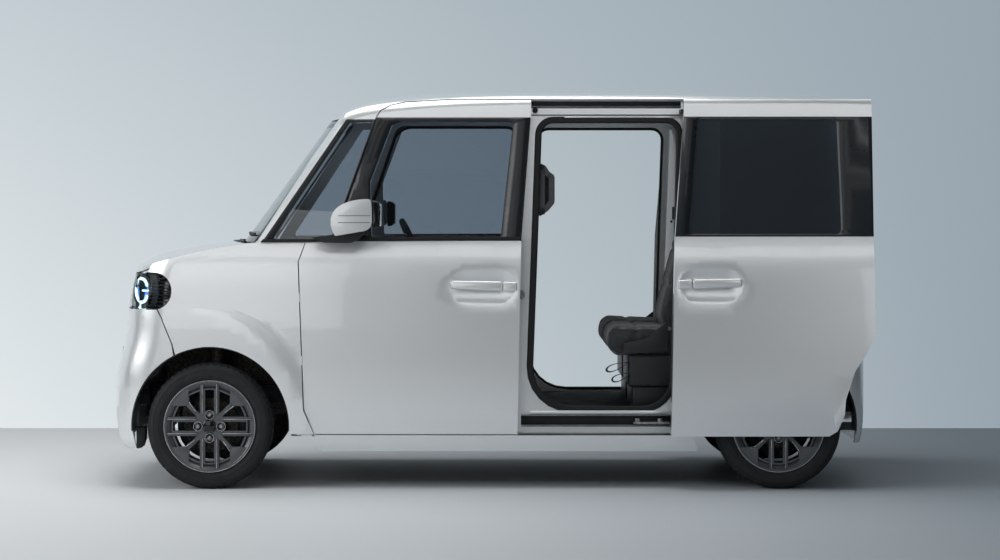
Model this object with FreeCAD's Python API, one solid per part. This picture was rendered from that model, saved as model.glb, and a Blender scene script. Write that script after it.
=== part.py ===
import FreeCAD, Part
from FreeCAD import Vector, Rotation, Placement
import math
import os

# A small tall-bodied city car with sliding rear doors, both shown open.
# Millimetres. +X is the front, +Y the car's left side, +Z up. The origin
# lies on the ground under the middle of the car.

# Whole car
LENGTH = 3395.0
HEIGHT = 1790.0
HALF_LENGTH = LENGTH / 2
WHEELBASE = 2520.0
FRONT_AXLE_X = 1239.5
REAR_AXLE_X = FRONT_AXLE_X - WHEELBASE
TRACK = 1305.0
WHEEL_Y = TRACK / 2

# Tyre 155/65 R14 and its wheel
TYRE_WIDTH = 155.0
RIM_SEAT_R = 178.0
TYRE_R = 278.5
WHEEL_Z = TYRE_R
RIM_LIP_R = 200.0
BARREL_R = 168.0
RIM_FACE_R = 190.0
HUB_R = 58.0
SPINDLE_R = 18.0
SPOKE_SLOT = 20.0
SPOKE_OUTER = 43.0
PLATE_EDGE = 90.0

# Body sheet and gaps
GAP = 5.0
FIT = 0.3
LAMP_FIT = 0.8
LEAN = 0.1263
BELT_Z = 1100.0
DOOR_IN_Y = 650.0
FRAME_OUT_Y = 640.0
FRAME_IN_Y = 580.0
PANE = 5.0
ARCH_R = 352.0
WELL_Y = 395.0
FLOOR_TOP = 335.0
FLOOR_BOTTOM = 295.0
SILL_TOP_Z = 232.0
SILL_BOTTOM_Z = 166.0
ROOF_SPLIT_Z = 1733.0
ROOF_TAIL_Z = 1695.0
ROOF_END_X = -1640.0
TAIL_HINGE_DROP = 5.0

HOOD_HALF = 632.0

# Windscreen: a sheet bowed in plan, leaning back
SCREEN_X = 1108.6
SCREEN_Z = 1137.0
SCREEN_SLOPE = 0.721
SCREEN_BOW_R = 1900.0
TAIL_X = -1691.0
TAIL_BOW_R = 7000.0

# Sliding doors stand open on both sides
SLIDE_BACK = 670.0
SLIDE_OUT = 110.0

# Steering
KINGPIN_FOOT = Vector(1247.0, 600.0, 0.0)
KINGPIN_HEAD = Vector(1217.0, 450.0, 900.0)


def v(x, y, z):
    return Vector(x, y, z)


# Plane mappings for flat outlines
def on_xz(at):
    return lambda a, b: Vector(a, at, b)


def on_xy(at):
    return lambda a, b: Vector(a, b, at)


def on_yz(at):
    return lambda a, b: Vector(at, a, b)


def rounded_wire(points, place):
    """Closed outline from (a, b) or (a, b, radius) corners."""
    count = len(points)
    spans = []
    for i, point in enumerate(points):
        radius = point[2] if len(point) > 2 else 0.0
        if radius <= 0:
            spans.append((point[:2], None, point[:2]))
            continue
        before, after = points[i - 1], points[(i + 1) % count]
        ax, ay = before[0] - point[0], before[1] - point[1]
        bx, by = after[0] - point[0], after[1] - point[1]
        la, lb = math.hypot(ax, ay), math.hypot(bx, by)
        ax, ay, bx, by = ax / la, ay / la, bx / lb, by / lb
        half = math.acos(max(-1.0, min(1.0, ax * bx + ay * by))) / 2
        reach = radius / math.tan(half)
        cx, cy = ax + bx, ay + by
        lc = math.hypot(cx, cy)
        far = radius / math.sin(half)
        mid = (point[0] + cx / lc * (far - radius), point[1] + cy / lc * (far - radius))
        start = (point[0] + ax * reach, point[1] + ay * reach)
        end = (point[0] + bx * reach, point[1] + by * reach)
        spans.append((start, mid, end))
    edges = []
    for i, (start, mid, end) in enumerate(spans):
        if mid is not None:
            edges.append(Part.Arc(place(*start), place(*mid), place(*end)).toShape())
        follow = spans[(i + 1) % count][0]
        if math.hypot(follow[0] - end[0], follow[1] - end[1]) > 0.01:
            edges.append(Part.makeLine(place(*end), place(*follow)))
    return Part.Wire(edges)


def prism_y(points, y0, y1):
    return Part.Face(rounded_wire(points, on_xz(y0))).extrude(Vector(0, y1 - y0, 0))


def prism_z(points, z0, z1):
    return Part.Face(rounded_wire(points, on_xy(z0))).extrude(Vector(0, 0, z1 - z0))


def prism_x(points, x0, x1):
    return Part.Face(rounded_wire(points, on_yz(x0))).extrude(Vector(x1 - x0, 0, 0))


def box(x0, x1, y0, y1, z0, z1):
    return Part.makeBox(x1 - x0, y1 - y0, z1 - z0, Vector(x0, y0, z0))


def rod(start, end, radius):
    return Part.makeCylinder(radius, (end - start).Length, start, end - start)


def grow(points, amount):
    """Outline moved outwards by amount, corner by corner."""
    count = len(points)
    area = sum(points[i - 1][0] * points[i][1] - points[i][0] * points[i - 1][1] for i in range(count))
    side = 1.0 if area > 0 else -1.0
    out = []
    for i, point in enumerate(points):
        before, after = points[i - 1], points[(i + 1) % count]
        ax, ay = point[0] - before[0], point[1] - before[1]
        bx, by = after[0] - point[0], after[1] - point[1]
        la, lb = math.hypot(ax, ay), math.hypot(bx, by)
        n1 = (ay / la * side, -ax / la * side)
        n2 = (by / lb * side, -bx / lb * side)
        mx, my = n1[0] + n2[0], n1[1] + n2[1]
        scale = 2 * amount / (mx * mx + my * my)
        corner = (point[0] + mx * scale, point[1] + my * scale)
        radius = point[2] + amount if len(point) > 2 else 0.0
        out.append(corner + (max(radius, 0.0),))
    return out


def mirrored(shape):
    return shape.mirror(Vector(0, 0, 0), Vector(0, 1, 0))


def both(shape):
    return Part.makeCompound([shape, mirrored(shape)])


def carved(shape, tools):
    for tool in tools:
        shape = shape.cut(tool)
    return shape


def joined(shapes):
    first = shapes[0]
    return first.fuse(shapes[1:]).removeSplitter()


os.makedirs("parts", exist_ok=True)
written = []


def export(name, shape):
    solids = shape.Solids
    bad = [s for s in solids if not s.isValid()]
    if not solids or bad:
        print("problem", name, len(solids), len(bad))
    final = solids[0] if len(solids) == 1 else Part.makeCompound(solids)
    final.exportStep("parts/" + name + ".step")
    written.append(name)
    print(name, len(solids), "solids", len(shape.Faces), "faces")


# Outer form. Plan outlines are eight arcs that meet smoothly.
def circle_meeting(c1, r1, c2, r2, sx):
    dx, dy = c2[0] - c1[0], c2[1] - c1[1]
    d = math.hypot(dx, dy)
    a = (r1 * r1 - r2 * r2 + d * d) / (2 * d)
    h = math.sqrt(max(r1 * r1 - a * a, 0))
    mx, my = c1[0] + a * dx / d, c1[1] + a * dy / d
    pair = [(mx + h * dy / d, my - h * dx / d), (mx - h * dy / d, my + h * dx / d)]
    return max(pair, key=lambda p: p[0] * sx + p[1])


FRONT_CORNER_R = 200.0
REAR_CORNER_R = 95.0
FRONT_BOW_R = 9000.0
REAR_BOW_R = 7000.0
SIDE_BOW_R = 40000.0
SIDE_MID_X = -300.0


def plan_outline(z, front, rear, half):
    def corner(cx, bow, sx, r):
        centre = (SIDE_MID_X, half - SIDE_BOW_R)
        p = circle_meeting((cx, 0.0), bow - r, centre, SIDE_BOW_R - r, sx)
        uf = ((p[0] - cx) / (bow - r), p[1] / (bow - r))
        us = ((p[0] - centre[0]) / (SIDE_BOW_R - r), (p[1] - centre[1]) / (SIDE_BOW_R - r))
        m = (uf[0] + us[0], uf[1] + us[1])
        n = math.hypot(*m)
        end = (cx + uf[0] * bow, uf[1] * bow)
        side = (centre[0] + us[0] * SIDE_BOW_R, centre[1] + us[1] * SIDE_BOW_R)
        return end, (p[0] + m[0] / n * r, p[1] + m[1] / n * r), side

    f_end, f_mid, f_side = corner(front - FRONT_BOW_R, FRONT_BOW_R, 1, FRONT_CORNER_R)
    r_end, r_mid, r_side = corner(rear + REAR_BOW_R, REAR_BOW_R, -1, REAR_CORNER_R)

    def at(p, s=1):
        return Vector(p[0], s * p[1], z)

    arcs = [
        (at(f_end, -1), at((front, 0)), at(f_end)),
        (at(f_end), at(f_mid), at(f_side)),
        (at(f_side), at((SIDE_MID_X, half)), at(r_side)),
        (at(r_side), at(r_mid), at(r_end)),
        (at(r_end), at((rear, 0)), at(r_end, -1)),
        (at(r_end, -1), at(r_mid, -1), at(r_side, -1)),
        (at(r_side, -1), at((SIDE_MID_X, half), -1), at(f_side, -1)),
        (at(f_side, -1), at(f_mid, -1), at(f_end, -1)),
    ]
    return Part.Wire([Part.Arc(*a).toShape() for a in arcs])


# Height, front, rear and half width of the lower body, sill to waist
UNDERCUT = [
    (165, 1655, -1668, 694),
    (205, 1680, -1682, 706),
    (243, 1688, -1690, 713),
    (300, 1694, -1696, 721),
    (365, 1697, -HALF_LENGTH, 731),
]
FLANK = [
    (365, 1697, -HALF_LENGTH, 731),
    (450, 1696, -HALF_LENGTH, 734),
    (550, 1681, -1697, 734.5),
    (650, 1655, -1696, 733),
    (760, 1643, -1695, 730),
    (870, 1628, -1693.5, 726),
    (980, 1600, -1692, 719),
    (1060, 1570, -1691, 705),
    (1160, 1530, -1689, 686),
]
# Station, height and crown radius along the bonnet, from under the cabin forward
SKY_FROM_X = 985.0
BONNET_LINE = [
    (900, 1120, 10000),
    (1000, 1117, 10000),
    (1257, 1087, 8000),
    (1472, 1049, 5000),
    (1562, 1020, 4000),
    (1620, 985, 3500),
    (1700, 930, 3000),
]
# Station and height of the roof's middle line, tail to windscreen foot
ROOF_LINE = [
    (-1720, 1640), (-1697, 1700), (-1660, 1738), (-1600, 1757), (-1500, 1767),
    (-1200, 1780), (-900, 1788), (-300, HEIGHT), (0, 1787), (272, 1774),
    (448, 1758), (554, 1741), (624, 1720), (680, 1690), (735, 1650),
    (800, 1595), (900, 1490), (1000, 1380), (1100, 1265), (1200, 1150),
]
ROOF_CROWN_R = 4271.0
ROOF_EDGE_R = 55.0
CABIN_HALF = 697.0


def cabin_half(x):
    return CABIN_HALF - (x - SIDE_MID_X) ** 2 / (2 * SIDE_BOW_R)


def roof_section(x, top):
    half = cabin_half(x) + FIT
    n = math.hypot(1, LEAN)
    nx, nz = 1 / n, LEAN / n
    cz = top - ROOF_CROWN_R
    reach = ROOF_CROWN_R - ROOF_EDGE_R
    k = half * nx + BELT_Z * nz - ROOF_EDGE_R
    dist = k - cz * nz
    h = math.sqrt(reach ** 2 - dist ** 2)
    p = (dist * nx - h * nz, cz + dist * nz + h * nx)
    side = (p[0] + ROOF_EDGE_R * nx, p[1] + ROOF_EDGE_R * nz)
    u = (p[0] / reach, (p[1] - cz) / reach)
    crown = (u[0] * ROOF_CROWN_R, cz + u[1] * ROOF_CROWN_R)
    m = (u[0] + nx, u[1] + nz)
    q = math.hypot(*m)
    mid = (p[0] + m[0] / q * ROOF_EDGE_R, p[1] + m[1] / q * ROOF_EDGE_R)
    foot = (half + (BELT_Z - 1030) * LEAN, 1030)

    def at(a, s=1):
        return Vector(x, s * a[0], a[1])

    return Part.Wire([
        Part.makeLine(at(foot, -1), at(foot)),
        Part.makeLine(at(foot), at(side)),
        Part.Arc(at(side), at(mid), at(crown)).toShape(),
        Part.Arc(at(crown), at((0, top)), at(crown, -1)).toShape(),
        Part.Arc(at(crown, -1), at(mid, -1), at(side, -1)).toShape(),
        Part.makeLine(at(side, -1), at(foot, -1)),
    ])


def screen_x(z):
    return SCREEN_X - SCREEN_SLOPE * (z - SCREEN_Z)


def cabin_plan(z):
    """Windscreen in front, tail behind, wide apart at the sides."""
    front = screen_x(z)
    rear = TAIL_X + (z - BELT_Z) * 0.02
    half = cabin_half(TAIL_X) - (z - BELT_Z) * LEAN + 1
    drop = 26.0
    c = 90.0
    m = c * (1 - math.sqrt(0.5))

    def at(x, y):
        return Vector(x, y, z)

    left = [
        Part.makeLine(at(front - 200, 900), at(rear + c + drop + 40, half + 3)),
        Part.makeLine(at(rear + c + drop + 40, half + 3), at(rear + c + drop, half)),
        Part.Arc(at(rear + c + drop, half), at(rear + drop + m, half - m), at(rear + drop, half - c)).toShape(),
    ]
    right = [
        Part.Arc(at(rear + drop, c - half), at(rear + drop + m, m - half), at(rear + c + drop, -half)).toShape(),
        Part.makeLine(at(rear + c + drop, -half), at(rear + c + drop + 40, -half - 3)),
        Part.makeLine(at(rear + c + drop + 40, -half - 3), at(front - 200, -900)),
    ]
    nose = Part.Arc(at(front - 200, -900), at(front, 0), at(front - 200, 900)).toShape()
    tail = Part.Arc(at(rear + drop, half - c), at(rear, 0), at(rear + drop, c - half)).toShape()
    return Part.Wire([nose] + left + [tail] + right)


def sky():
    """Everything above the bonnet, used to trim the lower body in front of the cabin."""
    wires = []
    for x, top, crown in BONNET_LINE:
        reach = 850.0
        drop = crown - math.sqrt(crown ** 2 - reach ** 2)
        arc = Part.Arc(v(x, -reach, top - drop), v(x, 0, top), v(x, reach, top - drop))
        wires.append(Part.Wire([arc.toShape()]))
    above = Part.makeLoft(wires, False, False).Faces[0].extrude(v(0, 0, 1500))
    return above.common(box(SKY_FROM_X, 1900, -900, 900, 800, 2500))


undercut = Part.makeLoft([plan_outline(*row) for row in UNDERCUT], True, False)
flank = Part.makeLoft([plan_outline(*row) for row in FLANK], True, False).cut(sky())
cabin = Part.makeLoft([roof_section(*row) for row in ROOF_LINE], True, False)
cabin = cabin.common(Part.makeLoft([cabin_plan(1030.0), cabin_plan(1830.0)], True, True))
outer = undercut.fuse([flank, cabin])
print("outer form", outer.isValid(), round(outer.Volume / 1e9, 3))


# Side slabs: upright below the belt, leaning in above it
def slab(y_in, y_out):
    rise = 1850.0 - BELT_Z
    return prism_x([
        (y_in, 100), (y_out, 100), (y_out, BELT_Z), (y_out - rise * LEAN, 1850),
        (y_in - rise * LEAN, 1850), (y_in, BELT_Z)], -1800, 1800)


door_side = outer.common(slab(DOOR_IN_Y, 1000))
frame_side = outer.common(slab(FRAME_IN_Y, 1000))
beyond_frame = slab(FRAME_OUT_Y, 1000)

# Outlines in side view
FRONT_DOOR = [
    (816, 1090), (846, 1007), (827, 519), (821, 350, 60),
    (776, 243), (-124.5, 243), (-135.5, 839), (-142, 1108), (-184, 1646), (-185, 1728),
    (180, 1728), (372, 1718), (440, 1704), (485, 1680), (503, 1650), (696, 1095),
]
FRONT_WINDOW = [(429, 1633, 20), (-107, 1636, 20), (-51, 1110, 20), (524, 1110, 20), (530, 1364)]
SLIDING_DOOR = [
    (-129.5, 242), (-140.5, 839), (-147, 1108), (-190, 1646), (-190, 1728),
    (-1022, 1728), (-1022, 1100), (-1026, 690), (-991, 614), (-934, 527, 60),
    (-894, 404), (-889, 338, 40), (-859, 264, 30), (-824, 242),
]
SLIDING_WINDOW = [(-250, 1642, 20), (-866, 1642, 20), (-881, 1131, 20), (-205, 1131, 20)]
SLIDE_APERTURE = [
    (-225, 1637, 60), (-849, 1637, 60), (-812, 352, 130), (-176, 352, 190),
]
FRONT_APERTURE = [
    (-100, 350, 60), (740, 350, 120), (770, 660), (775, 1040), (640, 1110), (455, 1645, 60), (-140, 1645, 60),
    (-95, 1100),
]
TAILGATE = [(-592, 567, 30), (592, 567, 30), (592, 1400), (560, 1790), (-560, 1790), (-592, 1400)]
QUARTER_GLASS = [(624, 1625, 12), (519, 1630, 12), (706, 1106, 12), (968, 1106, 12)]
SIDE_FRAME = [
    (-1700, 232), (860, 232), (860, 1000), (1040, 1060), (1040, 1090), (690, 1645), (500, 1692),
    (443, 1709), (374, 1723), (182, ROOF_SPLIT_Z), (-1250, ROOF_SPLIT_Z),
    (ROOF_END_X, ROOF_TAIL_Z), (ROOF_END_X, 1790), (-1700, 1790),
]
FENDER = [
    (821, 1090), (851, 1007), (832, 519), (826, 350), (781, 243),
    (900, 243), (1380, 540), (1405, 640), (1451, 750), (1472, 794), (1640, 900), (1640, 1200), (1042, 1200),
    (1042, 1098),
]
HEADLAMP = [(1413, 794, 80), (1413, 958, 80), (1700, 958), (1700, 794)]

wheel_arch_front = rod(v(FRONT_AXLE_X, WELL_Y, WHEEL_Z), v(FRONT_AXLE_X, 900, WHEEL_Z), ARCH_R)
wheel_arch_rear = rod(v(REAR_AXLE_X, 545, WHEEL_Z), v(REAR_AXLE_X, 900, WHEEL_Z), ARCH_R)

FLARE_OUT_Y = 737.5
FLARE_LIP = 33.0
FLARE_PROUD = 12.0
FLARE_CROWN_R = 440.0
FLARE_CROWN_Z = 365.0


def flare(axle_x, reach_x):
    """Raised lip round a wheel arch, fading into the side; reach_x ends it towards the nose or tail."""
    profile = Part.makePolygon([
        v(axle_x + ARCH_R, 640, WHEEL_Z), v(axle_x + ARCH_R, FLARE_OUT_Y, WHEEL_Z),
        v(axle_x + ARCH_R + FLARE_LIP, FLARE_OUT_Y, WHEEL_Z), v(axle_x + 560, 700, WHEEL_Z),
        v(axle_x + 560, 640, WHEEL_Z), v(axle_x + ARCH_R, 640, WHEEL_Z)])
    band = Part.Face(profile).revolve(v(axle_x, 0, WHEEL_Z), v(0, 1, 0), 360)
    crown = rod(v(axle_x, 600, FLARE_CROWN_Z), v(axle_x, 900, FLARE_CROWN_Z), FLARE_CROWN_R)
    swollen = outer.copy()
    swollen.translate(v(0, FLARE_PROUD, 0))
    low, high = sorted((reach_x, axle_x - math.copysign(470, reach_x - axle_x)))
    return swollen.common(box(low, high, 640, 900, SILL_TOP_Z + 11, 900)).common(band.common(crown))


front_flare = flare(FRONT_AXLE_X, 1600)
rear_flare = flare(REAR_AXLE_X, -1640)

# Doors, each with a shallow dish behind its handle
DISH_R = 208.0
DISH_DEEP = 16.0
DISH_REACH = math.sqrt(2 * DISH_R * DISH_DEEP - DISH_DEEP ** 2)


def handle_dish(x0, x1, z, y):
    """Hollow from x0 to x1 with round ends, in a side that lies at y."""
    back = v(x0 + DISH_REACH, y + DISH_R - DISH_DEEP, z)
    front = v(x1 - DISH_REACH, y + DISH_R - DISH_DEEP, z)
    return [rod(back, front, DISH_R), Part.makeSphere(DISH_R, back), Part.makeSphere(DISH_R, front)]


front_door = door_side.common(prism_y(FRONT_DOOR, 400, 900))
front_door = front_door.cut(prism_y(FRONT_WINDOW, 400, 900))
front_door = carved(front_door, handle_dish(-118, 183, 905, 722.5))
export("front_door_left", front_door)
export("front_door_right", mirrored(front_door))

sliding_door = door_side.common(prism_y(SLIDING_DOOR, 400, 900))
sliding_door = sliding_door.cut(prism_y(SLIDING_WINDOW, 400, 900))
sliding_door = carved(sliding_door, handle_dish(-445, -163, 915, 723.5))
sliding_door = sliding_door.fuse(rear_flare.common(prism_y(SLIDING_DOOR, DOOR_IN_Y, 900))).removeSplitter()
sliding_door.translate(v(-SLIDE_BACK, SLIDE_OUT, 0))
export("sliding_door_left", sliding_door)
export("sliding_door_right", mirrored(sliding_door))


def side_pane(outline, inset, shift=(0, 0)):
    """Flat pane leaning with the cabin side."""
    xs = [p[0] for p in outline]
    mid = (min(xs) + max(xs)) / 2
    slope = (cabin_half(max(xs)) - cabin_half(min(xs))) / (max(xs) - min(xs))

    def place(a, b):
        y = cabin_half(mid) + slope * (a - mid) - (b - BELT_Z) * LEAN - inset
        return Vector(a + shift[0], y + shift[1], b)

    return Part.Face(rounded_wire(grow(outline, -FIT), place)).extrude(v(0, -PANE, 0))


door_glass = side_pane(FRONT_WINDOW, 12)
export("door_glass_left", door_glass)
export("door_glass_right", mirrored(door_glass))
export("sliding_glass", both(side_pane(SLIDING_WINDOW, 12, (-SLIDE_BACK, SLIDE_OUT))))
export("quarter_glass", both(side_pane(QUARTER_GLASS, 8)))

# Front door hinge line, along the gap in front of the door
HINGE_LOW = Vector(829.5 + 0.0389 * 41, 719.0, 560.0)
HINGE_HIGH = Vector(829.5 + 0.0389 * 321, 711.5, 840.0)
HINGE_R = 2.3
HINGE_TALL = 40.0


def hinge_at(z):
    return HINGE_LOW + (HINGE_HIGH - HINGE_LOW) * ((z - HINGE_LOW.z) / (HINGE_HIGH.z - HINGE_LOW.z))


def door_hinge(z):
    low, high = hinge_at(z), hinge_at(z + HINGE_TALL)
    leaf = prism_y([(low.x - 1.3, low.z), (low.x + 1.3, low.z), (high.x + 1.3, high.z), (high.x - 1.3, high.z)],
                   FRAME_OUT_Y - 3, high.y)
    return leaf.fuse(rod(low, high, HINGE_R))


# Side frame: pillars, sill, rail and rear quarter in one welded piece
side_frame = frame_side.common(prism_y(SIDE_FRAME, 400, 900))
cuts = [
    prism_y(SLIDE_APERTURE, 400, 900),
    prism_y(FRONT_APERTURE, 400, 900),
    prism_y(QUARTER_GLASS, 400, 900),
    prism_y(grow(FRONT_DOOR, GAP), 400, 900).common(beyond_frame),
    prism_y(grow(SLIDING_DOOR, GAP), 400, 900).common(beyond_frame),
    wheel_arch_front,
    wheel_arch_rear,
    prism_x(grow(TAILGATE, GAP), -1800, -1640),
    box(-1800, -1555, 300, 900, 100, 562),
    box(-1750, -1600, 600, 900, 900, 1380),
    prism_y([(776, 100), (776, 243), (800, 300), (800, 1098), (1010, 1098), (1700, 1200), (1700, 100)],
            HOOD_HALF + GAP, 900),
]
side_flare = rear_flare.common(prism_y(SIDE_FRAME, 640, 900))
side_frame = side_frame.fuse(side_flare.common(box(-1700, REAR_AXLE_X + 560, 640, 900, 200, 1000)))
side_frame = carved(side_frame, cuts)
side_frame = side_frame.fuse([door_hinge(550), door_hinge(830)])
export("side_frame_left", side_frame)
export("side_frame_right", mirrored(side_frame))

# Roof: a crowned sheet with its header over the windscreen
ROOF = [
    (ROOF_END_X, ROOF_TAIL_Z), (-1250, ROOF_SPLIT_Z), (182, ROOF_SPLIT_Z), (374, 1723), (443, 1709), (500, 1692),
    (690, 1645), (900, 1645), (900, 1850), (ROOF_END_X, 1850),
]
roof = outer.common(prism_y(ROOF, -800, 800))
roof_edge = roof.common(box(ROOF_END_X, ROOF_END_X + 1, -1, 1, 1600, 1800)).optimalBoundingBox().ZMax
tail_hinge = Vector(ROOF_END_X - GAP / 2, 0, roof_edge - TAIL_HINGE_DROP)
print("tailgate hinge height", round(tail_hinge.z, 2))
pins = []
for y in (50, -130):
    pins.append(rod(tail_hinge + v(0, y, 0), tail_hinge + v(0, y + 80, 0), HINGE_R))
    pins.append(box(tail_hinge.x - 1, tail_hinge.x + 1, y, y + 80, tail_hinge.z - 9, tail_hinge.z - 0.5))
    pins.append(box(tail_hinge.x - 1, ROOF_END_X + 4, y, y + 80, tail_hinge.z - 9, tail_hinge.z - 6))
roof = joined([roof] + pins)
export("roof", roof)


# Windscreen and tailgate glass: bowed sheets
def bowed_pane(low, high, x_at, half_at, bow_r, front):
    wires = []
    for z in (low, high):
        half = half_at(z)
        x = x_at(z)
        drop = (bow_r - math.sqrt(bow_r ** 2 - half ** 2)) * front
        step = -PANE * 1.24 * front
        wires.append(Part.Wire([
            Part.Arc(v(x - drop, -half, z), v(x, 0, z), v(x - drop, half, z)).toShape(),
            Part.makeLine(v(x - drop, half, z), v(x - drop + step, half, z)),
            Part.Arc(v(x - drop + step, half, z), v(x + step, 0, z), v(x - drop + step, -half, z)).toShape(),
            Part.makeLine(v(x - drop + step, -half, z), v(x - drop, -half, z)),
        ]))
    return Part.makeLoft(wires, True, True)


windscreen = bowed_pane(1072, 1645, screen_x, lambda z: FRAME_IN_Y - FIT - max(z - BELT_Z, 0) * LEAN,
                        SCREEN_BOW_R, 1)
export("windscreen", windscreen)

# Front: bonnet, fenders, bumper, lamps, grille
BONNET_REAR_X = 1195.0


def cross_arc_region(x_rear, x_front, half, z0, z1):
    """Plan strip whose edges follow the windscreen's bow."""
    drop = half ** 2 / (2 * SCREEN_BOW_R)
    wire = Part.Wire([
        Part.Arc(v(x_rear - drop, -half, z0), v(x_rear, 0, z0), v(x_rear - drop, half, z0)).toShape(),
        Part.makeLine(v(x_rear - drop, half, z0), v(x_front, half, z0)),
        Part.makeLine(v(x_front, half, z0), v(x_front, -half, z0)),
        Part.makeLine(v(x_front, -half, z0), v(x_rear - drop, -half, z0)),
    ])
    return Part.Face(wire).extrude(v(0, 0, z1 - z0))


BONNET = [
    (1040, 1040), (1257, 1030), (1472, 992), (1555, 963), (1700, 960), (1700, 1200), (1040, 1200),
]
lamp_zone = prism_y(HEADLAMP, 450, 900)
bonnet = outer.common(prism_y(BONNET, -800, 800))
bonnet = bonnet.common(cross_arc_region(BONNET_REAR_X, 1720, HOOD_HALF, 900, 1200))
BONNET_HINGE_X = 1095.0
BONNET_HINGE_Z = 1078.0


def bonnet_hinge_rod(y0, y1, radius):
    return rod(v(BONNET_HINGE_X, y0, BONNET_HINGE_Z), v(BONNET_HINGE_X, y1, BONNET_HINGE_Z), radius)


eye = box(BONNET_HINGE_X, BONNET_HINGE_X + 45, 545, 555, 1045, BONNET_HINGE_Z - 8)
eye = eye.fuse([box(BONNET_HINGE_X, BONNET_HINGE_X + 8, 545, 555, 1050, BONNET_HINGE_Z), bonnet_hinge_rod(545, 555, 8)])
eye = eye.cut(bonnet_hinge_rod(540, 560, 4 + LAMP_FIT))
bonnet = joined([bonnet, eye, mirrored(eye)])
export("bonnet", bonnet)

FRONT_FENDER_Y = HOOD_HALF + GAP
FENDER_CORE_Y = 590.0
fender_core = prism_z([(700, -FENDER_CORE_Y), (1500, -FENDER_CORE_Y, 150), (1500, FENDER_CORE_Y, 150),
                       (700, FENDER_CORE_Y)], 100, 1300)
fender = outer.common(prism_y(FENDER, 470, 900))
fender = carved(fender, [
    fender_core,
    prism_y(grow(BONNET, GAP), 400, FRONT_FENDER_Y),
    box(700, 1400, 400, FRONT_FENDER_Y, 100, 1300),
    box(700, 1390, 600, 668, 100, 985),
    box(1556, 1700, 400, 720, 700, 1300),
    wheel_arch_front,
    prism_y(grow(HEADLAMP, LAMP_FIT), 450, 900),
])
fender = fender.fuse(front_flare.common(prism_y(FENDER, 600, 900))).removeSplitter()
export("front_fenders", both(fender))

PLATE_HOLE_R = 3.2
PLATE_HOLES_APART = 210.0
FRONT_PLATE_Z = 520.0
REAR_PLATE_Z = 760.0


def plate_holes(z, x0, x1):
    return [rod(v(x0, side * PLATE_HOLES_APART / 2, z), v(x1, side * PLATE_HOLES_APART / 2, z), PLATE_HOLE_R)
            for side in (1, -1)]


BUMPER = [
    (1380, 171), (1395, 540), (1410, 640), (1456, 750), (1477, 790), (1500, 955), (1750, 955), (1750, 171),
]
inner_front = prism_z([(1200, -640), (1590, -640, 120), (1590, 640, 120), (1200, 640)], 100, 1000)
lamp_cut = prism_y(grow(HEADLAMP, LAMP_FIT), 450, 900)
bumper = outer.common(prism_y(BUMPER, -900, 900))
bumper_flare = front_flare.common(prism_y(BUMPER, 600, 900))
bumper = bumper.fuse([bumper_flare, mirrored(bumper_flare)])
grille_zone = box(1500, 1750, -440, 440, 812, 955)
lower_intake = box(1500, 1750, -420, 420, 250, 400)
bumper = bumper.cut([
    inner_front, lamp_cut, mirrored(lamp_cut), wheel_arch_front, mirrored(wheel_arch_front), grille_zone,
    lower_intake,
    *plate_holes(FRONT_PLATE_Z, 1500, 1800),
])
export("front_bumper", bumper)

lamp_trim = prism_x([(450, 794, 80), (900, 794), (900, 958), (450, 958, 80)], 1350, 1750)
headlamp = outer.common(prism_y(HEADLAMP, 450, 900)).common(lamp_trim)
headlamp = headlamp.cut(box(1300, 1578, 300, 600, 700, 1000))
export("headlamps", both(headlamp))

grille = outer.common(box(1575, 1750, -440, 440, 812, 955))
grille = grille.cut([box(1600, 1750, -420, 420, z, z + 18) for z in (830, 865, 900)])
lower_grille = outer.common(box(1640, 1750, -420, 420, 250, 400))
lower_grille = lower_grille.cut([box(1665, 1750, -400, 400, z, z + 20) for z in (270, 315, 360)])
export("grille", Part.makeCompound([grille, lower_grille]))

# Cowl with two wipers
cowl = cross_arc_region(1090, 1300, 576, 1040, 1072).cut(cross_arc_region(1185, 1400, 700, 1000, 1100))
cowl = cowl.cut([box(1085, 1200, 543, 557, 1030, 1100), box(1085, 1200, -557, -543, 1030, 1100)])
brackets = [box(1088, 1102, y, y + 8, 1060, 1085) for y in (535, 557, -543, -565)]
brackets += [bonnet_hinge_rod(535, 565, 4), bonnet_hinge_rod(-565, -535, 4)]
arms = []
for pivot_y, reach in ((520, 560), (-120, 480)):
    foot_x = 1174 - pivot_y ** 2 / (2 * SCREEN_BOW_R)
    tip_y = pivot_y - reach
    tip_x = 1174 - tip_y ** 2 / (2 * SCREEN_BOW_R)
    arms.append(rod(v(foot_x, pivot_y, 1060), v(foot_x, pivot_y, 1098), 9))
    arms.append(rod(v(foot_x, pivot_y, 1092), v(tip_x, tip_y, 1096), 5))
export("cowl", joined([cowl] + brackets + arms))

# Tail: rear bumper, tailgate, lamps
REAR_BUMPER = [(-1555, 200), (-1555, 560), (-1750, 560), (-1750, 200)]
rear_bumper = outer.common(prism_y(REAR_BUMPER, -900, 900))
bumper_flare = rear_flare.common(prism_y(REAR_BUMPER, 600, 900))
rear_bumper = rear_bumper.fuse([bumper_flare, mirrored(bumper_flare)])
rear_bumper = rear_bumper.cut([
    prism_z([(-1500, -640), (-1640, -640, 60), (-1640, 640, 60), (-1500, 640)], 100, 1000),
    wheel_arch_rear, mirrored(wheel_arch_rear)])
export("rear_bumper", rear_bumper)

tailgate = outer.common(prism_x(TAILGATE, -1800, -1645))
REAR_WINDOW = [(-520, 1130, 40), (520, 1130, 40), (475, 1600, 40), (-475, 1600, 40)]
tailgate = tailgate.cut([prism_x(REAR_WINDOW, -1800, -1600), *plate_holes(REAR_PLATE_Z, -1800, -1600)])
export("tailgate", tailgate)


def rear_glass_half(z):
    return 515 - (z - 1135) * 45 / 465


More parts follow.
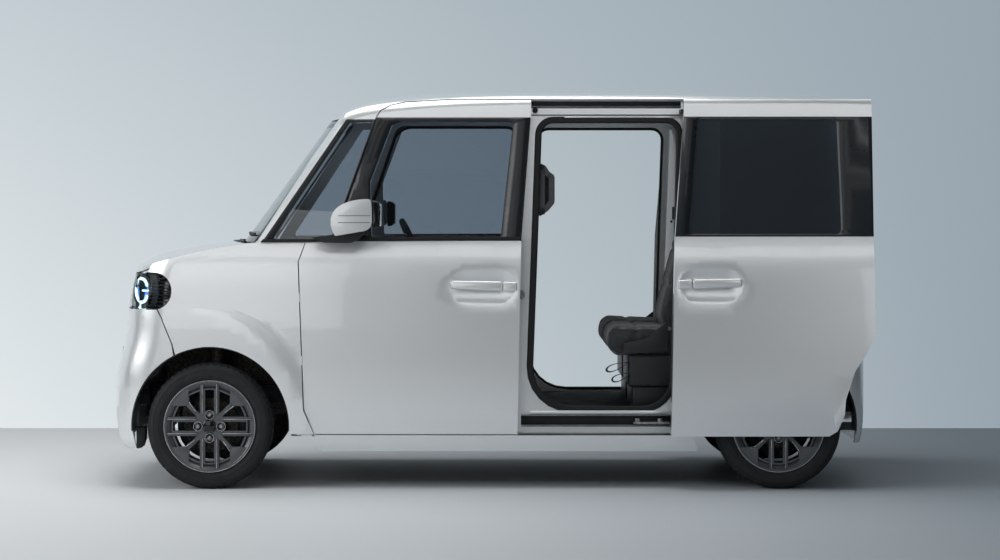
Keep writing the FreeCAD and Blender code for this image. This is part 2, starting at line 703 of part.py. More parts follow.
tail_glass = bowed_pane(1135, 1595, lambda z: TAIL_X + 10 + (z - BELT_Z) * 0.02, rear_glass_half, TAIL_BOW_R, -1)
tail_glass = tail_glass.common(prism_x(grow(REAR_WINDOW, -FIT), -1800, -1600))
export("tailgate_glass", tail_glass)
tail_lamp = outer.common(box(-1750, -1600, 602, 900, 902, 1378))
export("tail_lamps", both(tail_lamp))

# Wheel arch liners, and the rear wheelhouses' inner sides
LINER_WALL = 5.7


def arch_liner(axle_x, y_in, y_out):
    axle = v(axle_x, y_in, WHEEL_Z)
    far = v(axle_x, y_out, WHEEL_Z)
    ring = rod(axle, far, ARCH_R - FIT).cut(rod(axle - v(0, 5, 0), far + v(0, 5, 0), ARCH_R - FIT - LINER_WALL))
    return ring.common(box(axle_x - 500, axle_x + 500, y_in, y_out, 255, 800))


front_liner = arch_liner(FRONT_AXLE_X, WELL_Y + GAP, 690)
front_liner = front_liner.cut([box(1140, 1310, 300, 545, 400, 800), box(1490, 1620, 300, 548, 200, 700)])
rear_liner = arch_liner(REAR_AXLE_X, 545, 690)
export("wheel_liners", Part.makeCompound([front_liner, mirrored(front_liner), rear_liner, mirrored(rear_liner)]))
inner_side = rod(v(REAR_AXLE_X, 545, WHEEL_Z), v(REAR_AXLE_X, 550, WHEEL_Z), ARCH_R - 2 * FIT - LINER_WALL)
export("wheelhouse_sides", both(inner_side.common(box(-1700, -860, 540, 560, 330, 800))))

# Under the body
floor = joined([
    box(-900, 860, -FRAME_IN_Y, FRAME_IN_Y, FLOOR_BOTTOM, FLOOR_TOP),
    box(-900, -860, -FRAME_IN_Y, FRAME_IN_Y, FLOOR_BOTTOM, 500),
    box(-1640, -860, -540, 540, 470, 500),
    box(820, 860, -FRAME_IN_Y, FRAME_IN_Y, FLOOR_BOTTOM, 1040),
    box(820, 1080, -FRAME_IN_Y, FRAME_IN_Y, 1020, 1040),
] + [box(x, x + 60, -FRAME_IN_Y, FRAME_IN_Y, 235, FLOOR_BOTTOM) for x in (-700, -100, 500)])
export("floor_pan", floor)
tower = box(1120, 1340, 385, 575, 660, 905).cut(box(1130, 1330, 395, 575, 600, 895))
kingpin = (KINGPIN_HEAD - KINGPIN_FOOT).normalize()


def kingpin_at(z):
    share = z / KINGPIN_HEAD.z
    return KINGPIN_FOOT + (KINGPIN_HEAD - KINGPIN_FOOT) * share


tower = tower.cut(rod(kingpin_at(860), kingpin_at(940), 11 + FIT))
rail = box(860, 1580, 320, 385, 360, 440).fuse(box(1575, 1590, 300, 360, 405, 438))
bay = joined([
    rail, mirrored(rail), box(1535, 1580, -494, 494, 360, 440), box(1535, 1575, -540, -478, 432, 900),
    box(1535, 1575, 478, 540, 432, 900), box(1535, 1575, -560, 560, 880, 920),
    box(860, 1575, 340, 395, 700, 760), box(860, 1575, -395, -340, 700, 760),
    box(1180, 1280, 345, 385, 430, 705), box(1180, 1280, -385, -345, 430, 705),
    tower, mirrored(tower)])
export("engine_bay_frame", bay)
engine = joined([
    box(930, 1480, -300, 300, 300, 820), box(1150, 1230, 290, 320, 380, 425), box(1150, 1230, -320, -290, 380, 425)])
export("engine_block", engine)
arm_eye = kingpin_at(178)
left_arm = joined([
    prism_z([(1110, 300), (1210, 560), (1285, 560), (1300, 300)], 168, 190),
    rod(kingpin_at(164), kingpin_at(194), 32)])
left_arm = left_arm.cut(rod(kingpin_at(150), kingpin_at(210), 12 + FIT))
subframe = joined([
    box(1090, 1320, -320, 320, 168, 215), left_arm, mirrored(left_arm),
    box(1100, 1140, 325, 365, 190, 360), box(1100, 1140, -365, -325, 190, 360),
    box(1090, 1320, 300, 370, 168, 215), box(1090, 1320, -370, -300, 168, 215)])
export("front_subframe", subframe)
beam = joined([
    rod(v(REAR_AXLE_X, -590, WHEEL_Z), v(REAR_AXLE_X, 590, WHEEL_Z), 32),
    rod(v(REAR_AXLE_X, -640, WHEEL_Z), v(REAR_AXLE_X, 640, WHEEL_Z), SPINDLE_R),
    box(REAR_AXLE_X, -905, 430, 480, WHEEL_Z - 25, WHEEL_Z + 25),
    box(REAR_AXLE_X, -905, -480, -430, WHEEL_Z - 25, WHEEL_Z + 25),
    rod(v(REAR_AXLE_X, 455, WHEEL_Z), v(REAR_AXLE_X, 455, 470), 45),
    rod(v(REAR_AXLE_X, -455, WHEEL_Z), v(REAR_AXLE_X, -455, 470), 45),
    box(-950, -905, -480, -430, WHEEL_Z - 25, 470), box(-950, -905, 430, 480, WHEEL_Z - 25, 470)])
export("rear_axle", beam)
export("fuel_tank", box(-35, 480, -430, 20, 190, FLOOR_BOTTOM))
PIPE_Z = 205.0
PIPE_R = 20.0
pipe = joined([
    rod(v(905, 60, PIPE_Z), v(-1450, 60, PIPE_Z), PIPE_R), rod(v(905, 60, PIPE_Z - 24), v(905, 60, 350), 24),
    box(905, 930, 45, 75, 310, 340), box(-1560, -1400, -260, 260, 185, 330), box(-1490, -1470, -40, 40, 320, 470),
    rod(v(-1500, -200, PIPE_Z), v(-1630, -200, PIPE_Z), PIPE_R)])
export("exhaust", pipe)
garnish = outer.common(prism_y([(754, SILL_BOTTOM_Z), (790, SILL_TOP_Z), (-905, SILL_TOP_Z),
                               (-923, SILL_BOTTOM_Z)], FRAME_IN_Y + 20, 900))
export("sill_garnishes", both(garnish))

# Sliding door arms, from the rails to the door's inner face
arm_y = SLIDE_OUT + DOOR_IN_Y
arms = []
for arm in (box(-870, -815, 600, arm_y + 10, 290, 310), box(-1260, -1180, 640, arm_y + 10, 1105, 1125),
            box(-900, -850, 520, arm_y - 50, 1670, 1684)):
    arms.append(carved(arm, [side_frame, sliding_door]).Solids[0])
export("slide_arms", both(Part.makeCompound(arms)))

# Inside
export("dashboard", box(560, 820, -FRAME_IN_Y, FRAME_IN_Y, 760, 1010))
seat = joined([
    prism_y([(-130, 560, 30), (-110, 700, 30), (330, 720, 50), (340, 570, 40)], 110, 560),
    prism_y([(-130, 640, 30), (-20, 690, 30), (-110, 1170, 40), (-220, 1150, 40)], 110, 560),
    prism_y([(-215, 1175, 30), (-115, 1185, 30), (-130, 1340, 30), (-220, 1330, 30)], 220, 450),
    box(-190, -140, 325, 345, 1140, 1200), box(-100, 300, 150, 520, FLOOR_TOP, 580)])
export("front_seats", both(seat))
rear = joined([
    prism_y([(-472, 620, 40), (-472, 762, 30), (-860, 730, 30), (-860, 592, 30)], 20, 580),
    prism_y([(-780, 640, 30), (-700, 760, 30), (-830, 1230, 40), (-930, 1210, 40)], 20, 545),
    box(-830, -600, 60, 560, FLOOR_TOP, 600)])
export("rear_seats", both(rear))

# Steering wheel and its column
WHEEL_TILT = 65.0
column_dir = v(math.sin(math.radians(WHEEL_TILT)), 0, -math.cos(math.radians(WHEEL_TILT)))
hub = v(350, -350, 1020)
ring = Part.makeTorus(178, 14, hub, column_dir)
wheel = joined([ring, rod(hub - column_dir * 10, hub + column_dir * 50, 45)])
spoke = box(-12, 12, -178, 178, -8, 6)
spoke.Placement = Placement(hub, Rotation(v(0, 0, 1), column_dir))
wheel = joined([wheel, spoke])
export("steering_wheel", wheel)
shaft = rod(hub + column_dir * (50 + FIT), hub + column_dir * 330, 22)
export("steering_column", shaft.cut(box(560, 820, -FRAME_IN_Y, FRAME_IN_Y, 760, 1010)))


# Wheels
def turned(profile):
    """Ring from (y, radius) corners, turned about the wheel's axis."""
    wire = rounded_wire(profile, lambda a, b: Vector(0, a, b))
    return Part.Face(wire).revolve(v(0, 0, 0), v(0, 1, 0), 360)


def tyre(x, side):
    half = TYRE_WIDTH / 2
    outside = [(58, RIM_SEAT_R), (half, 236), (66, 267), (50, TYRE_R)]
    ring = turned(outside + [(-a, b) for a, b in reversed(outside)])
    ring.translate(v(x, side * WHEEL_Y, WHEEL_Z))
    return ring


def rim(x, side):
    """Barrel, hub and a face of four double spokes."""
    face = turned([(48, 0), (48, BARREL_R + 5), (56, BARREL_R + 5), (56, BARREL_R + 1), (71, BARREL_R + 1), (71, 0)])
    cuts = []
    edge = math.sqrt(BARREL_R ** 2 - SPOKE_OUTER ** 2) - 6
    corner = math.sqrt(BARREL_R ** 2 - PLATE_EDGE ** 2) - 6
    end = BARREL_R - 6
    for turn in range(4):
        slot = prism_y([(-SPOKE_SLOT, 66), (SPOKE_SLOT, 66), (SPOKE_SLOT, end), (-SPOKE_SLOT, end)], 40, 80)
        windows = [slot]
        for flip in (1, -1):
            windows.append(prism_y([
                (flip * SPOKE_OUTER, 56), (flip * PLATE_EDGE, 103), (flip * PLATE_EDGE, corner),
                (flip * SPOKE_OUTER, edge)], 40, 80))
        for shape in windows:
            shape.rotate(v(0, 0, 0), v(0, 1, 0), 90 * turn)
            cuts.append(shape)
    face = face.cut(cuts)
    barrel = [
        (-74, RIM_LIP_R), (-66, RIM_LIP_R), (-66, RIM_SEAT_R), (66, RIM_SEAT_R), (66, RIM_LIP_R), (74, RIM_LIP_R),
        (74, RIM_FACE_R), (58, BARREL_R), (-60, BARREL_R), (-74, RIM_FACE_R)]
    hub = Part.makeCylinder(HUB_R, 110, v(0, -60, 0), v(0, 1, 0))
    shape = turned(barrel).fuse([face, hub])
    shape = shape.cut(Part.makeCylinder(SPINDLE_R + FIT, 51, v(0, -61, 0), v(0, 1, 0)))
    if side < 0:
        shape = mirrored(shape)
    shape.translate(v(x, side * WHEEL_Y, WHEEL_Z))
    return shape


for place, x in (("front", FRONT_AXLE_X), ("rear", REAR_AXLE_X)):
    for side_name, side in (("left", 1), ("right", -1)):
        export("tyre_" + place + "_" + side_name, tyre(x, side))
        export("rim_" + place + "_" + side_name, rim(x, side))

knuckle = joined([
    rod(v(FRONT_AXLE_X, 530, WHEEL_Z), v(FRONT_AXLE_X, 588, WHEEL_Z), 52),
    rod(v(FRONT_AXLE_X, 580, WHEEL_Z), v(FRONT_AXLE_X, 640, WHEEL_Z), SPINDLE_R),
    rod(kingpin_at(208), kingpin_at(420), 26),
    rod(kingpin_at(160), kingpin_at(215), 12),
    rod(kingpin_at(400), kingpin_at(640), 34),
    rod(kingpin_at(640), kingpin_at(660), 60),
    rod(kingpin_at(660), kingpin_at(880), 30),
    rod(kingpin_at(870), kingpin_at(915), 11)])
export("knuckle_left", knuckle)
export("knuckle_right", mirrored(knuckle))

# Door mirrors on the front doors
mirror_shell = prism_y([(478, 1135, 40), (464, 1265, 40), (560, 1281, 50), (692, 1220, 60), (680, 1119, 40)], 745, 900)
mirror = joined([mirror_shell, prism_y([(560, 1072, 10), (590, 1125, 10), (680, 1125, 10), (700, 1092), (775, 1086, 3), (775, 1074, 3)], 688, 790)])
mirror = mirror.cut(front_door)
export("mirror_left", mirror)
export("mirror_right", mirrored(mirror))
print(len(written), "nodes")
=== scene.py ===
import bpy
import bmesh
import math
from mathutils import Matrix, Vector


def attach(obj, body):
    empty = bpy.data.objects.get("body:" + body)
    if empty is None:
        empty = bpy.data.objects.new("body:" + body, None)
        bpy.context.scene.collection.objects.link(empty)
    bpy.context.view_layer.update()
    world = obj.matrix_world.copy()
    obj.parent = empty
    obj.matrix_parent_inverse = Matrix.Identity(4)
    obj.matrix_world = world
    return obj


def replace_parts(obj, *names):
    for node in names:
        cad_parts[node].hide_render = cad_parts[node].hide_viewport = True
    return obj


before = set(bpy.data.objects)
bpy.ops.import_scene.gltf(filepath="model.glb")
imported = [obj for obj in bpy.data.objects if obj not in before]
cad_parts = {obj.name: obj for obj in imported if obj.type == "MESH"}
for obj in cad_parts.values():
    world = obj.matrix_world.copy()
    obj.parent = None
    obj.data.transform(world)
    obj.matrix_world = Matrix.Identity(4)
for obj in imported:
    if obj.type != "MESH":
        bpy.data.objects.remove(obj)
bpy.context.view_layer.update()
print("frame loaded,", len(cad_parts), "nodes")


# Colours and the node helper

def colour(hexText):
    # sRGB hex to the linear light that the shaders work in
    parts = [int(hexText[i:i + 2], 16) / 255 for i in (1, 3, 5)]
    linear = [c / 12.92 if c <= 0.04045 else ((c + 0.055) / 1.055) ** 2.4 for c in parts]
    return (*linear, 1.0)


def addNode(tree, kind, settings=None, inputs=None, stops=None):
    # settings are the node's own properties, an input is a value or another node's socket, and stops fill a ramp
    # with hex colours or greys
    node = tree.nodes.new(kind)
    for key, value in (settings or {}).items():
        setattr(node, key, value)
    for key, value in (inputs or {}).items():
        if isinstance(value, bpy.types.NodeSocket):
            tree.links.new(value, node.inputs[key])
        else:
            node.inputs[key].default_value = value
    for index, (place, shade) in enumerate(stops or []):
        marks = node.color_ramp.elements
        mark = marks[index] if index < len(marks) else marks.new(place)
        mark.position = place
        mark.color = colour(shade) if isinstance(shade, str) else (shade, shade, shade, 1)
    return node


def newMaterial(name, values):
    # a Principled shader with the constant values on its own sockets
    material = bpy.data.materials.new(name)
    material.use_nodes = True
    tree = material.node_tree
    tree.nodes.clear()
    shader = addNode(tree, "ShaderNodeBsdfPrincipled", inputs=values)
    addNode(tree, "ShaderNodeOutputMaterial", inputs={"Surface": shader.outputs[0]})
    return material, tree, shader


# Materials

paint = dict(base="#e2e5e7", fleck="#f0f2f3", flake=2600.0, flakeShare=0.62, peel=60.0)


def makeSurface(name, values, textures, shades=None, gloss=None, relief=None, streak=None):
    # shades and gloss are the number of the texture that they follow and two ramp stops; relief is its texture's
    # number, its strength, its height in metres and its socket; streak stretches the textures
    material, tree, shader = newMaterial(name, values)
    where = addNode(tree, "ShaderNodeTexCoord").outputs["Object"]
    if streak:
        where = addNode(tree, "ShaderNodeMapping", inputs={"Vector": where, "Scale": streak}).outputs[0]
    fields = []
    for kind, settings in textures:
        texture = addNode(tree, "ShaderNodeTex" + kind, inputs={"Vector": where, **settings})
        fields.append(texture.outputs["Distance" if kind == "Voronoi" else "Fac"])
    for socket, rule in (("Base Color", shades), ("Roughness", gloss)):
        if rule:
            ramp = addNode(tree, "ShaderNodeValToRGB", None, {"Fac": fields[rule[0]]}, rule[1:])
            tree.links.new(ramp.outputs[0], shader.inputs[socket])
    if relief:
        index, strength, height, socket = relief
        bump = addNode(tree, "ShaderNodeBump", inputs={
            "Height": fields[index], "Strength": strength, "Distance": height})
        tree.links.new(bump.outputs[0], shader.inputs[socket])
    return material


def makePearlPaint():
    # white pearl lacquer: a milky base under clear coat; its flakes throw back the lamps and darken away from them
    return makeSurface(
        "pearlLacquer",
        {"Metallic": paint["flakeShare"], "IOR": 1.5, "Coat Weight": 1.0, "Coat Roughness": 0.03},
        [("Noise", {"Scale": paint["flake"], "Detail": 2.0}), ("Noise", {"Scale": paint["peel"], "Detail": 1.0})],
        (0, (0.42, paint["base"]), (0.62, paint["fleck"])),
        (0, (0.3, 0.36), (0.7, 0.28)), (1, 0.03, 0.001, "Coat Normal"))


def makeMoulded(name, base, light, rough, scale, depth, spec=0.5):
    # moulded plastic: a fine leather-like grain, slightly paler on its high spots, rubbed smoother in patches
    return makeSurface(
        name, {"IOR": 1.49, "Specular IOR Level": spec},
        [("Voronoi", {"Scale": scale}), ("Noise", {"Scale": 14.0, "Detail": 4.0})],
        (0, (0.2, light), (0.7, base)),
        (1, (0.35, rough), (0.7, rough * 0.8)), (0, 0.25, depth, "Normal"))


def makeGlass(name, tint, haze=0.0, ior=1.45, through=1.0):
    # tinted safety glass or clear acrylic, with a trace of wiping marks
    return makeSurface(
        name, {"Base Color": colour(tint), "IOR": ior, "Transmission Weight": through},
        [("Noise", {"Scale": 9.0, "Detail": 5.0})], gloss=(0, (0.4, haze), (0.8, haze + 0.02)))


def makeMetal(name, base, dark, rough, scale=40.0, streak=(1, 1, 1)):
    # metal with the faint cloudy skin of its casting, rolling or plating
    return makeSurface(
        name, {"Metallic": 1.0}, [("Noise", {"Scale": scale, "Detail": 5.0})],
        (0, (0.35, dark), (0.65, base)),
        (0, (0.3, rough * 1.25), (0.7, rough * 0.85)), (0, 0.1, 0.0004, "Normal"), streak)


def makeRubber(name, base, light, rough):
    # matt rubber, dusty grey where it flexes
    return makeSurface(
        name, {"IOR": 1.52, "Specular IOR Level": 0.35},
        [("Noise", {"Scale": 25.0, "Detail": 6.0, "Roughness": 0.6}), ("Noise", {"Scale": 700.0, "Detail": 2.0})],
        (0, (0.4, base), (0.75, light)),
        (0, (0.3, rough), (0.8, rough + 0.12)), (1, 0.2, 0.0003, "Normal"))


def makeGlow(name, shade, strength, gloss=0.4):
    # a light guide behind its frosted cover, which is a lamp; on the tinted bowl that it lights, the same glow is
    # painted light
    return makeSurface(
        name, {"Roughness": gloss, "Emission Color": colour(shade), "Emission Strength": strength},
        [("Noise", {"Scale": 300.0, "Detail": 2.0})], (0, (0.3, shade), (0.8, "#8fc4ee")))


def makeCloth(name, base, light, thread=4.0, quilt=0.0):
    # woven seat cloth: crossing ribs, drawn 4 mm wide so that they show; quilt adds stitched diamonds in millimetres
    material, tree, shader = newMaterial(name, {
        "Roughness": 0.85, "Specular IOR Level": 0.25, "Sheen Weight": 0.35, "Sheen Roughness": 0.5})
    where = addNode(tree, "ShaderNodeTexCoord").outputs["Object"]
    waveScale = math.tau * 50  # the wave node's scale for waves of 1 mm
    ribs = []
    for direction in ("X", "Y", "Z"):
        wave = addNode(tree, "ShaderNodeTexWave", {"bands_direction": direction}, {
            "Vector": where, "Scale": waveScale / thread, "Distortion": 0.6, "Detail": 1.0})
        ribs.append(wave.outputs["Fac"])
    crossed = addNode(tree, "ShaderNodeMath", {"operation": "MULTIPLY"}, {0: ribs[0], 1: ribs[1]})
    height = addNode(tree, "ShaderNodeMath", {"operation": "ADD"}, {0: crossed.outputs[0], 1: ribs[2]}).outputs[0]
    if quilt:
        lines = []
        for lean in (45, -45):
            run = addNode(tree, "ShaderNodeMapping", inputs={
                "Vector": where, "Rotation": (0, math.radians(20), math.radians(lean))})
            wave = addNode(tree, "ShaderNodeTexWave", {"bands_direction": "X"}, {
                "Vector": run.outputs[0], "Scale": waveScale / quilt, "Distortion": 0.0})
            lines.append(wave.outputs["Fac"])
        dent = addNode(tree, "ShaderNodeMath", {"operation": "MULTIPLY"}, {0: lines[0], 1: lines[1]})
        dent = addNode(tree, "ShaderNodeMath", {"operation": "MULTIPLY"}, {0: dent.outputs[0], 1: 3.0})
        height = addNode(tree, "ShaderNodeMath", {"operation": "ADD"}, {0: height, 1: dent.outputs[0]}).outputs[0]
    shade = addNode(tree, "ShaderNodeMapRange", inputs={
        "Value": height, "From Min": 0.1, "From Max": 4.2 if quilt else 0.95})
    tint = addNode(tree, "ShaderNodeValToRGB", None, {"Fac": shade.outputs[0]}, [(0.0, base), (1.0, light)])
    bump = addNode(tree, "ShaderNodeBump", inputs={"Height": height, "Strength": 0.35, "Distance": 0.0012})
    tree.links.new(tint.outputs[0], shader.inputs["Base Color"])
    tree.links.new(bump.outputs[0], shader.inputs["Normal"])
    return material


looks = {
    "paint": makePearlPaint(),
    "trim": makeMoulded("blackPolypropylene", "#131517", "#1e2124", 0.5, 700.0, 0.0003),
    "sash": makeMoulded("blackSashFilm", "#1f2225", "#2a2d31", 0.33, 500.0, 0.00005, 0.4),
    "gloss": makeMoulded("glossBlackAcrylic", "#0b0d0f", "#101316", 0.12, 300.0, 0.00002),
    "interior": makeMoulded("greyCabinPlastic", "#3a3d40", "#4a4e52", 0.55, 600.0, 0.0004),
    "paleInterior": makeMoulded("paleHeadliner", "#b9bcbd", "#cbcecf", 0.8, 900.0, 0.0004),
    "carpet": makeMoulded("needledCarpet", "#202224", "#34373a", 0.95, 420.0, 0.002, 0.2),
    "darkGlass": makeGlass("privacyGlass", "#4e565e", through=0.7),
    "doorGlass": makeGlass("tintedDoorGlass", "#bbc2ca"),
    "clearGlass": makeGlass("laminatedScreenGlass", "#cfdadb"),
    "lens": makeGlass("polycarbonateLens", "#f4f8f9", 0.0, 1.12),
    "redLens": makeGlass("redAcrylicLens", "#c0161c", 0.04, 1.3),
    "steelDark": makeMetal("cathodicPaintedSteel", "#3a3c3e", "#26282a", 0.55, 18.0),
    "rail": makeMetal("zincPlatedRail", "#8d9296", "#6a6f73", 0.38, 30.0, (1, 8, 8)),
    "steel": makeMetal("machinedSteel", "#a9acae", "#7d8184", 0.32, 60.0),
    "cast": makeMetal("castIron", "#5b5854", "#3c3a38", 0.6, 90.0),
    "alloy": makeMoulded("gunmetalWheelLacquer", "#3b3d41", "#4c4f53", 0.38, 350.0, 0.00002, 0.9),
    "bright": makeMetal("turnedAluminium", "#d2d5d7", "#b4b8bb", 0.2, 80.0),
    "mirror": makeMetal("silveredMirror", "#e8ebec", "#e0e4e6", 0.03, 10.0),
    "rubber": makeRubber("tyreRubber", "#17181a", "#25272a", 0.62),
    "seal": makeRubber("sealRubber", "#0b0c0d", "#16181a", 0.5),
    "cloth": makeCloth("wovenSeatCloth", "#1d1f21", "#3a3d40"),
    "quilt": makeCloth("quiltedSeatCloth", "#3c3f43", "#6a6e72", 4.0, 46.0),
    "webbing": makeCloth("wovenWebbing", "#141517", "#2a2c2e", 2.5),
    "glow": makeGlow("lampLightGuide", "#d3f3fd", 1.5),
    # the bowl is a reflector, no lamp: its blue glow is painted light
    "paintedGlowBowl": makeGlow("blueReflectorPaintedGlow", "#2a6fd0", 0.7, 0.15),
    "plate": makeMoulded("blankPlateEnamel", "#d9dcdc", "#e3e5e5", 0.35, 200.0, 0.0001),
}
print("materials made,", len(looks))


# Smooth shading for the pressed and moulded forms

def makeSmoothing():
    # welds the loose triangles and keeps only real edges sharp
    group = bpy.data.node_groups.new("smoothPanels", "GeometryNodeTree")
    group.interface.new_socket("Geometry", in_out="INPUT", socket_type="NodeSocketGeometry")
    group.interface.new_socket("Geometry", in_out="OUTPUT", socket_type="NodeSocketGeometry")
    start = addNode(group, "NodeGroupInput")
    plain = addNode(group, "GeometryNodeRemoveAttribute", inputs={
        "Geometry": start.outputs[0], "Name": "custom_normal"})
    weld = addNode(group, "GeometryNodeMergeByDistance", inputs={"Geometry": plain.outputs[0], "Distance": 0.00002})
    faces = addNode(group, "GeometryNodeSetShadeSmooth", {"domain": "FACE"}, {
        "Geometry": weld.outputs[0], "Shade Smooth": True})
    angle = addNode(group, "GeometryNodeInputMeshEdgeAngle")
    flat = addNode(group, "FunctionNodeCompare", {"data_type": "FLOAT", "operation": "LESS_THAN"}, {
        "A": angle.outputs["Unsigned Angle"], "B": math.radians(28)})
    edges = addNode(group, "GeometryNodeSetShadeSmooth", {"domain": "EDGE"}, {
        "Geometry": faces.outputs[0], "Shade Smooth": flat.outputs[0]})
    addNode(group, "NodeGroupOutput", inputs={0: edges.outputs[0]})
    return group


smoothing = makeSmoothing()
nodeLooks = {
    "paint": "front_door_left front_door_right sliding_door_left sliding_door_right side_frame_left side_frame_right "
             "roof bonnet front_fenders front_bumper rear_bumper tailgate sill_garnishes mirror_left mirror_right",
    "trim": "grille cowl dashboard wheel_liners wheelhouse_sides fuel_tank",
    "interior": "steering_wheel steering_column",
    "darkGlass": "sliding_glass tailgate_glass",
    "doorGlass": "door_glass_left door_glass_right quarter_glass",
    "clearGlass": "windscreen",
    "lens": "headlamps",
    "redLens": "tail_lamps",
    "steelDark": "floor_pan engine_bay_frame front_subframe rear_axle slide_arms",
    "cast": "engine_block knuckle_left knuckle_right",
    "steel": "exhaust",
    "alloy": "rim_front_left rim_front_right rim_rear_left rim_rear_right",
    "rubber": "tyre_front_left tyre_front_right tyre_rear_left tyre_rear_right",
    "cloth": "front_seats rear_seats",
}
for look, names in nodeLooks.items():
    for name in names.split():
        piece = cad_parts[name]
        piece.data.materials.clear()
        piece.data.materials.append(looks[look])
        piece.modifiers.new("smoothPanels", "NODES").node_group = smoothing
print("nodes finished")


# Making and placing pieces; outlines are in millimetres, meshes in metres

mm = 0.001
cabin = dict(waist=1100, lean=0.1263, frameSide=640)  # the side above the waist leans in


def meshOf(name, bm):
    mesh = bpy.data.meshes.new(name)
    bm.to_mesh(mesh)
    bm.free()
    return mesh


def placed(name, data):
    thing = bpy.data.objects.new(name, data)
    bpy.context.scene.collection.objects.link(thing)
    return thing


def newPiece(name, bm, look, body="body", slot=None, sharp=30, wall=0.0):
    # wall is the thickness that a bare skin gets, outwards
    bmesh.ops.remove_doubles(bm, verts=bm.verts[:], dist=0.000005)
    if not wall:
        bmesh.ops.recalc_face_normals(bm, faces=bm.faces[:])
    for face in bm.faces:
        face.smooth = True
    mesh = meshOf(name, bm)
    mesh.set_sharp_from_angle(angle=math.radians(sharp))
    mesh.materials.append(looks[look])
    piece = placed(name, mesh)
    if wall:
        shell = piece.modifiers.new("wall", "SOLIDIFY")
        shell.thickness = wall * mm
        shell.offset = 1.0
    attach(piece, body)
    return piece


def flipped(bm):
    # the mirror image across the middle of the car
    other = bm.copy()
    bmesh.ops.scale(other, vec=(1, -1, 1), verts=other.verts[:])
    bmesh.ops.reverse_faces(other, faces=other.faces[:])
    return other


def onBothSides(name, bm, look, body="body", **more):
    # body is one name, or a name that ends in left and has a right twin
    right = newPiece(name + "Right", flipped(bm), look, body.replace("left", "right"), **more)
    return newPiece(name + "Left", bm, look, body, **more), right


def moved(bm, place):
    bmesh.ops.translate(bm, vec=Vector(place) * mm, verts=bm.verts[:])
    return bm


def swung(bm, angle, axis="Y"):
    # turned about an axis through the car's origin, in degrees
    bmesh.ops.rotate(bm, cent=(0, 0, 0), matrix=Matrix.Rotation(math.radians(angle), 3, axis), verts=bm.verts[:])
    return bm


def cutBy(bm, point, normal):
    bmesh.ops.bisect_plane(bm, geom=bm.verts[:] + bm.edges[:] + bm.faces[:], dist=0.00001,
                           plane_co=Vector(point) * mm, plane_no=normal)


def gathered(parts):
    whole = parts[0]
    for part in parts[1:]:
        mesh = meshOf("part", part)
        whole.from_mesh(mesh)
        bpy.data.meshes.remove(mesh)
    return whole


def softenEdges(bm, width, segments=2, above=35):
    edges = [e for e in bm.edges if len(e.link_faces) == 2 and e.calc_face_angle(0) > math.radians(above)]
    bmesh.ops.bevel(bm, geom=edges, offset=width * mm, offset_type="OFFSET", segments=segments, profile=0.5,
                    affect="EDGES", material=-1, clamp_overlap=True)


def block(low, high, edge=2.0, segments=2):
    # a box between two corners with softened edges
    bm = bmesh.new()
    bmesh.ops.create_cube(bm, size=1.0)
    bmesh.ops.scale(bm, vec=[(h - l) * mm for l, h in zip(low, high)], verts=bm.verts[:])
    bmesh.ops.translate(bm, vec=[(h + l) * mm / 2 for l, h in zip(low, high)], verts=bm.verts[:])
    if edge:
        softenEdges(bm, edge, segments)
    return bm


def plate(outline, yLow, yHigh, corner=0.0, edge=0.0, band=0.0, segments=2):
    # a side-view outline given thickness across the car; band keeps only a strip along its border
    bm = bmesh.new()
    verts = [bm.verts.new((point[0] * mm, yLow * mm, point[1] * mm)) for point in outline]
    bm.faces.new(verts)
    for vert, point in zip(verts, outline):
        radius = point[2] if len(point) > 2 else corner
        if radius:
            bmesh.ops.bevel(bm, geom=[vert], offset=radius * mm, offset_type="OFFSET", segments=6, profile=0.5,
                            affect="VERTICES", material=-1)
    if band:
        rim = bmesh.ops.inset_region(bm, faces=bm.faces[:], thickness=band * mm, use_even_offset=True,
                                     use_boundary=True)["faces"]
        bmesh.ops.delete(bm, geom=[f for f in bm.faces if f not in rim], context="FACES")
    grown = bmesh.ops.extrude_face_region(bm, geom=bm.faces[:])["geom"]
    top = [g for g in grown if isinstance(g, bmesh.types.BMVert)]
    bmesh.ops.translate(bm, vec=(0, (yHigh - yLow) * mm, 0), verts=top)
    bmesh.ops.recalc_face_normals(bm, faces=bm.faces[:])
    if edge:
        softenEdges(bm, edge, segments)
    return bm


def turnedPart(profile, centre=(0, 0, 0), axis="Y", steps=48, closed=True):
    # profile corners are (along the axis, radius) in millimetres, spun once round
    bm = bmesh.new()
    along, out = Vector([float(letter == axis) for letter in "XYZ"]), Vector((0, 0, 1))
    if axis == "Z":
        out = Vector((1, 0, 0))
    verts = [bm.verts.new((along * a + out * r) * mm) for a, r in profile]
    edges = [bm.edges.new(pair) for pair in zip(verts, verts[1:])]
    if closed:
        edges.append(bm.edges.new((verts[-1], verts[0])))
    bmesh.ops.spin(bm, geom=verts + edges, cent=(0, 0, 0), axis=along, angle=math.tau, steps=steps, use_merge=True)
    bmesh.ops.remove_doubles(bm, verts=bm.verts[:], dist=0.000005)
    moved(bm, centre)
    bmesh.ops.recalc_face_normals(bm, faces=bm.faces[:])
    return bm


def rod(low, high, radius, centre=(0, 0, 0), axis="Y", steps=48):
    return turnedPart([(low, 0.1), (low, radius), (high, radius), (high, 0.1)], centre, axis, steps, closed=False)


def leanIn(bm):
    # above the waist the cabin side leans in
    cutBy(bm, (0, 0, cabin["waist"]), (0, 0, 1))
    for vert in bm.verts:
        vert.co.y -= max(vert.co.z - cabin["waist"] * mm, 0) * cabin["lean"]
    return bm


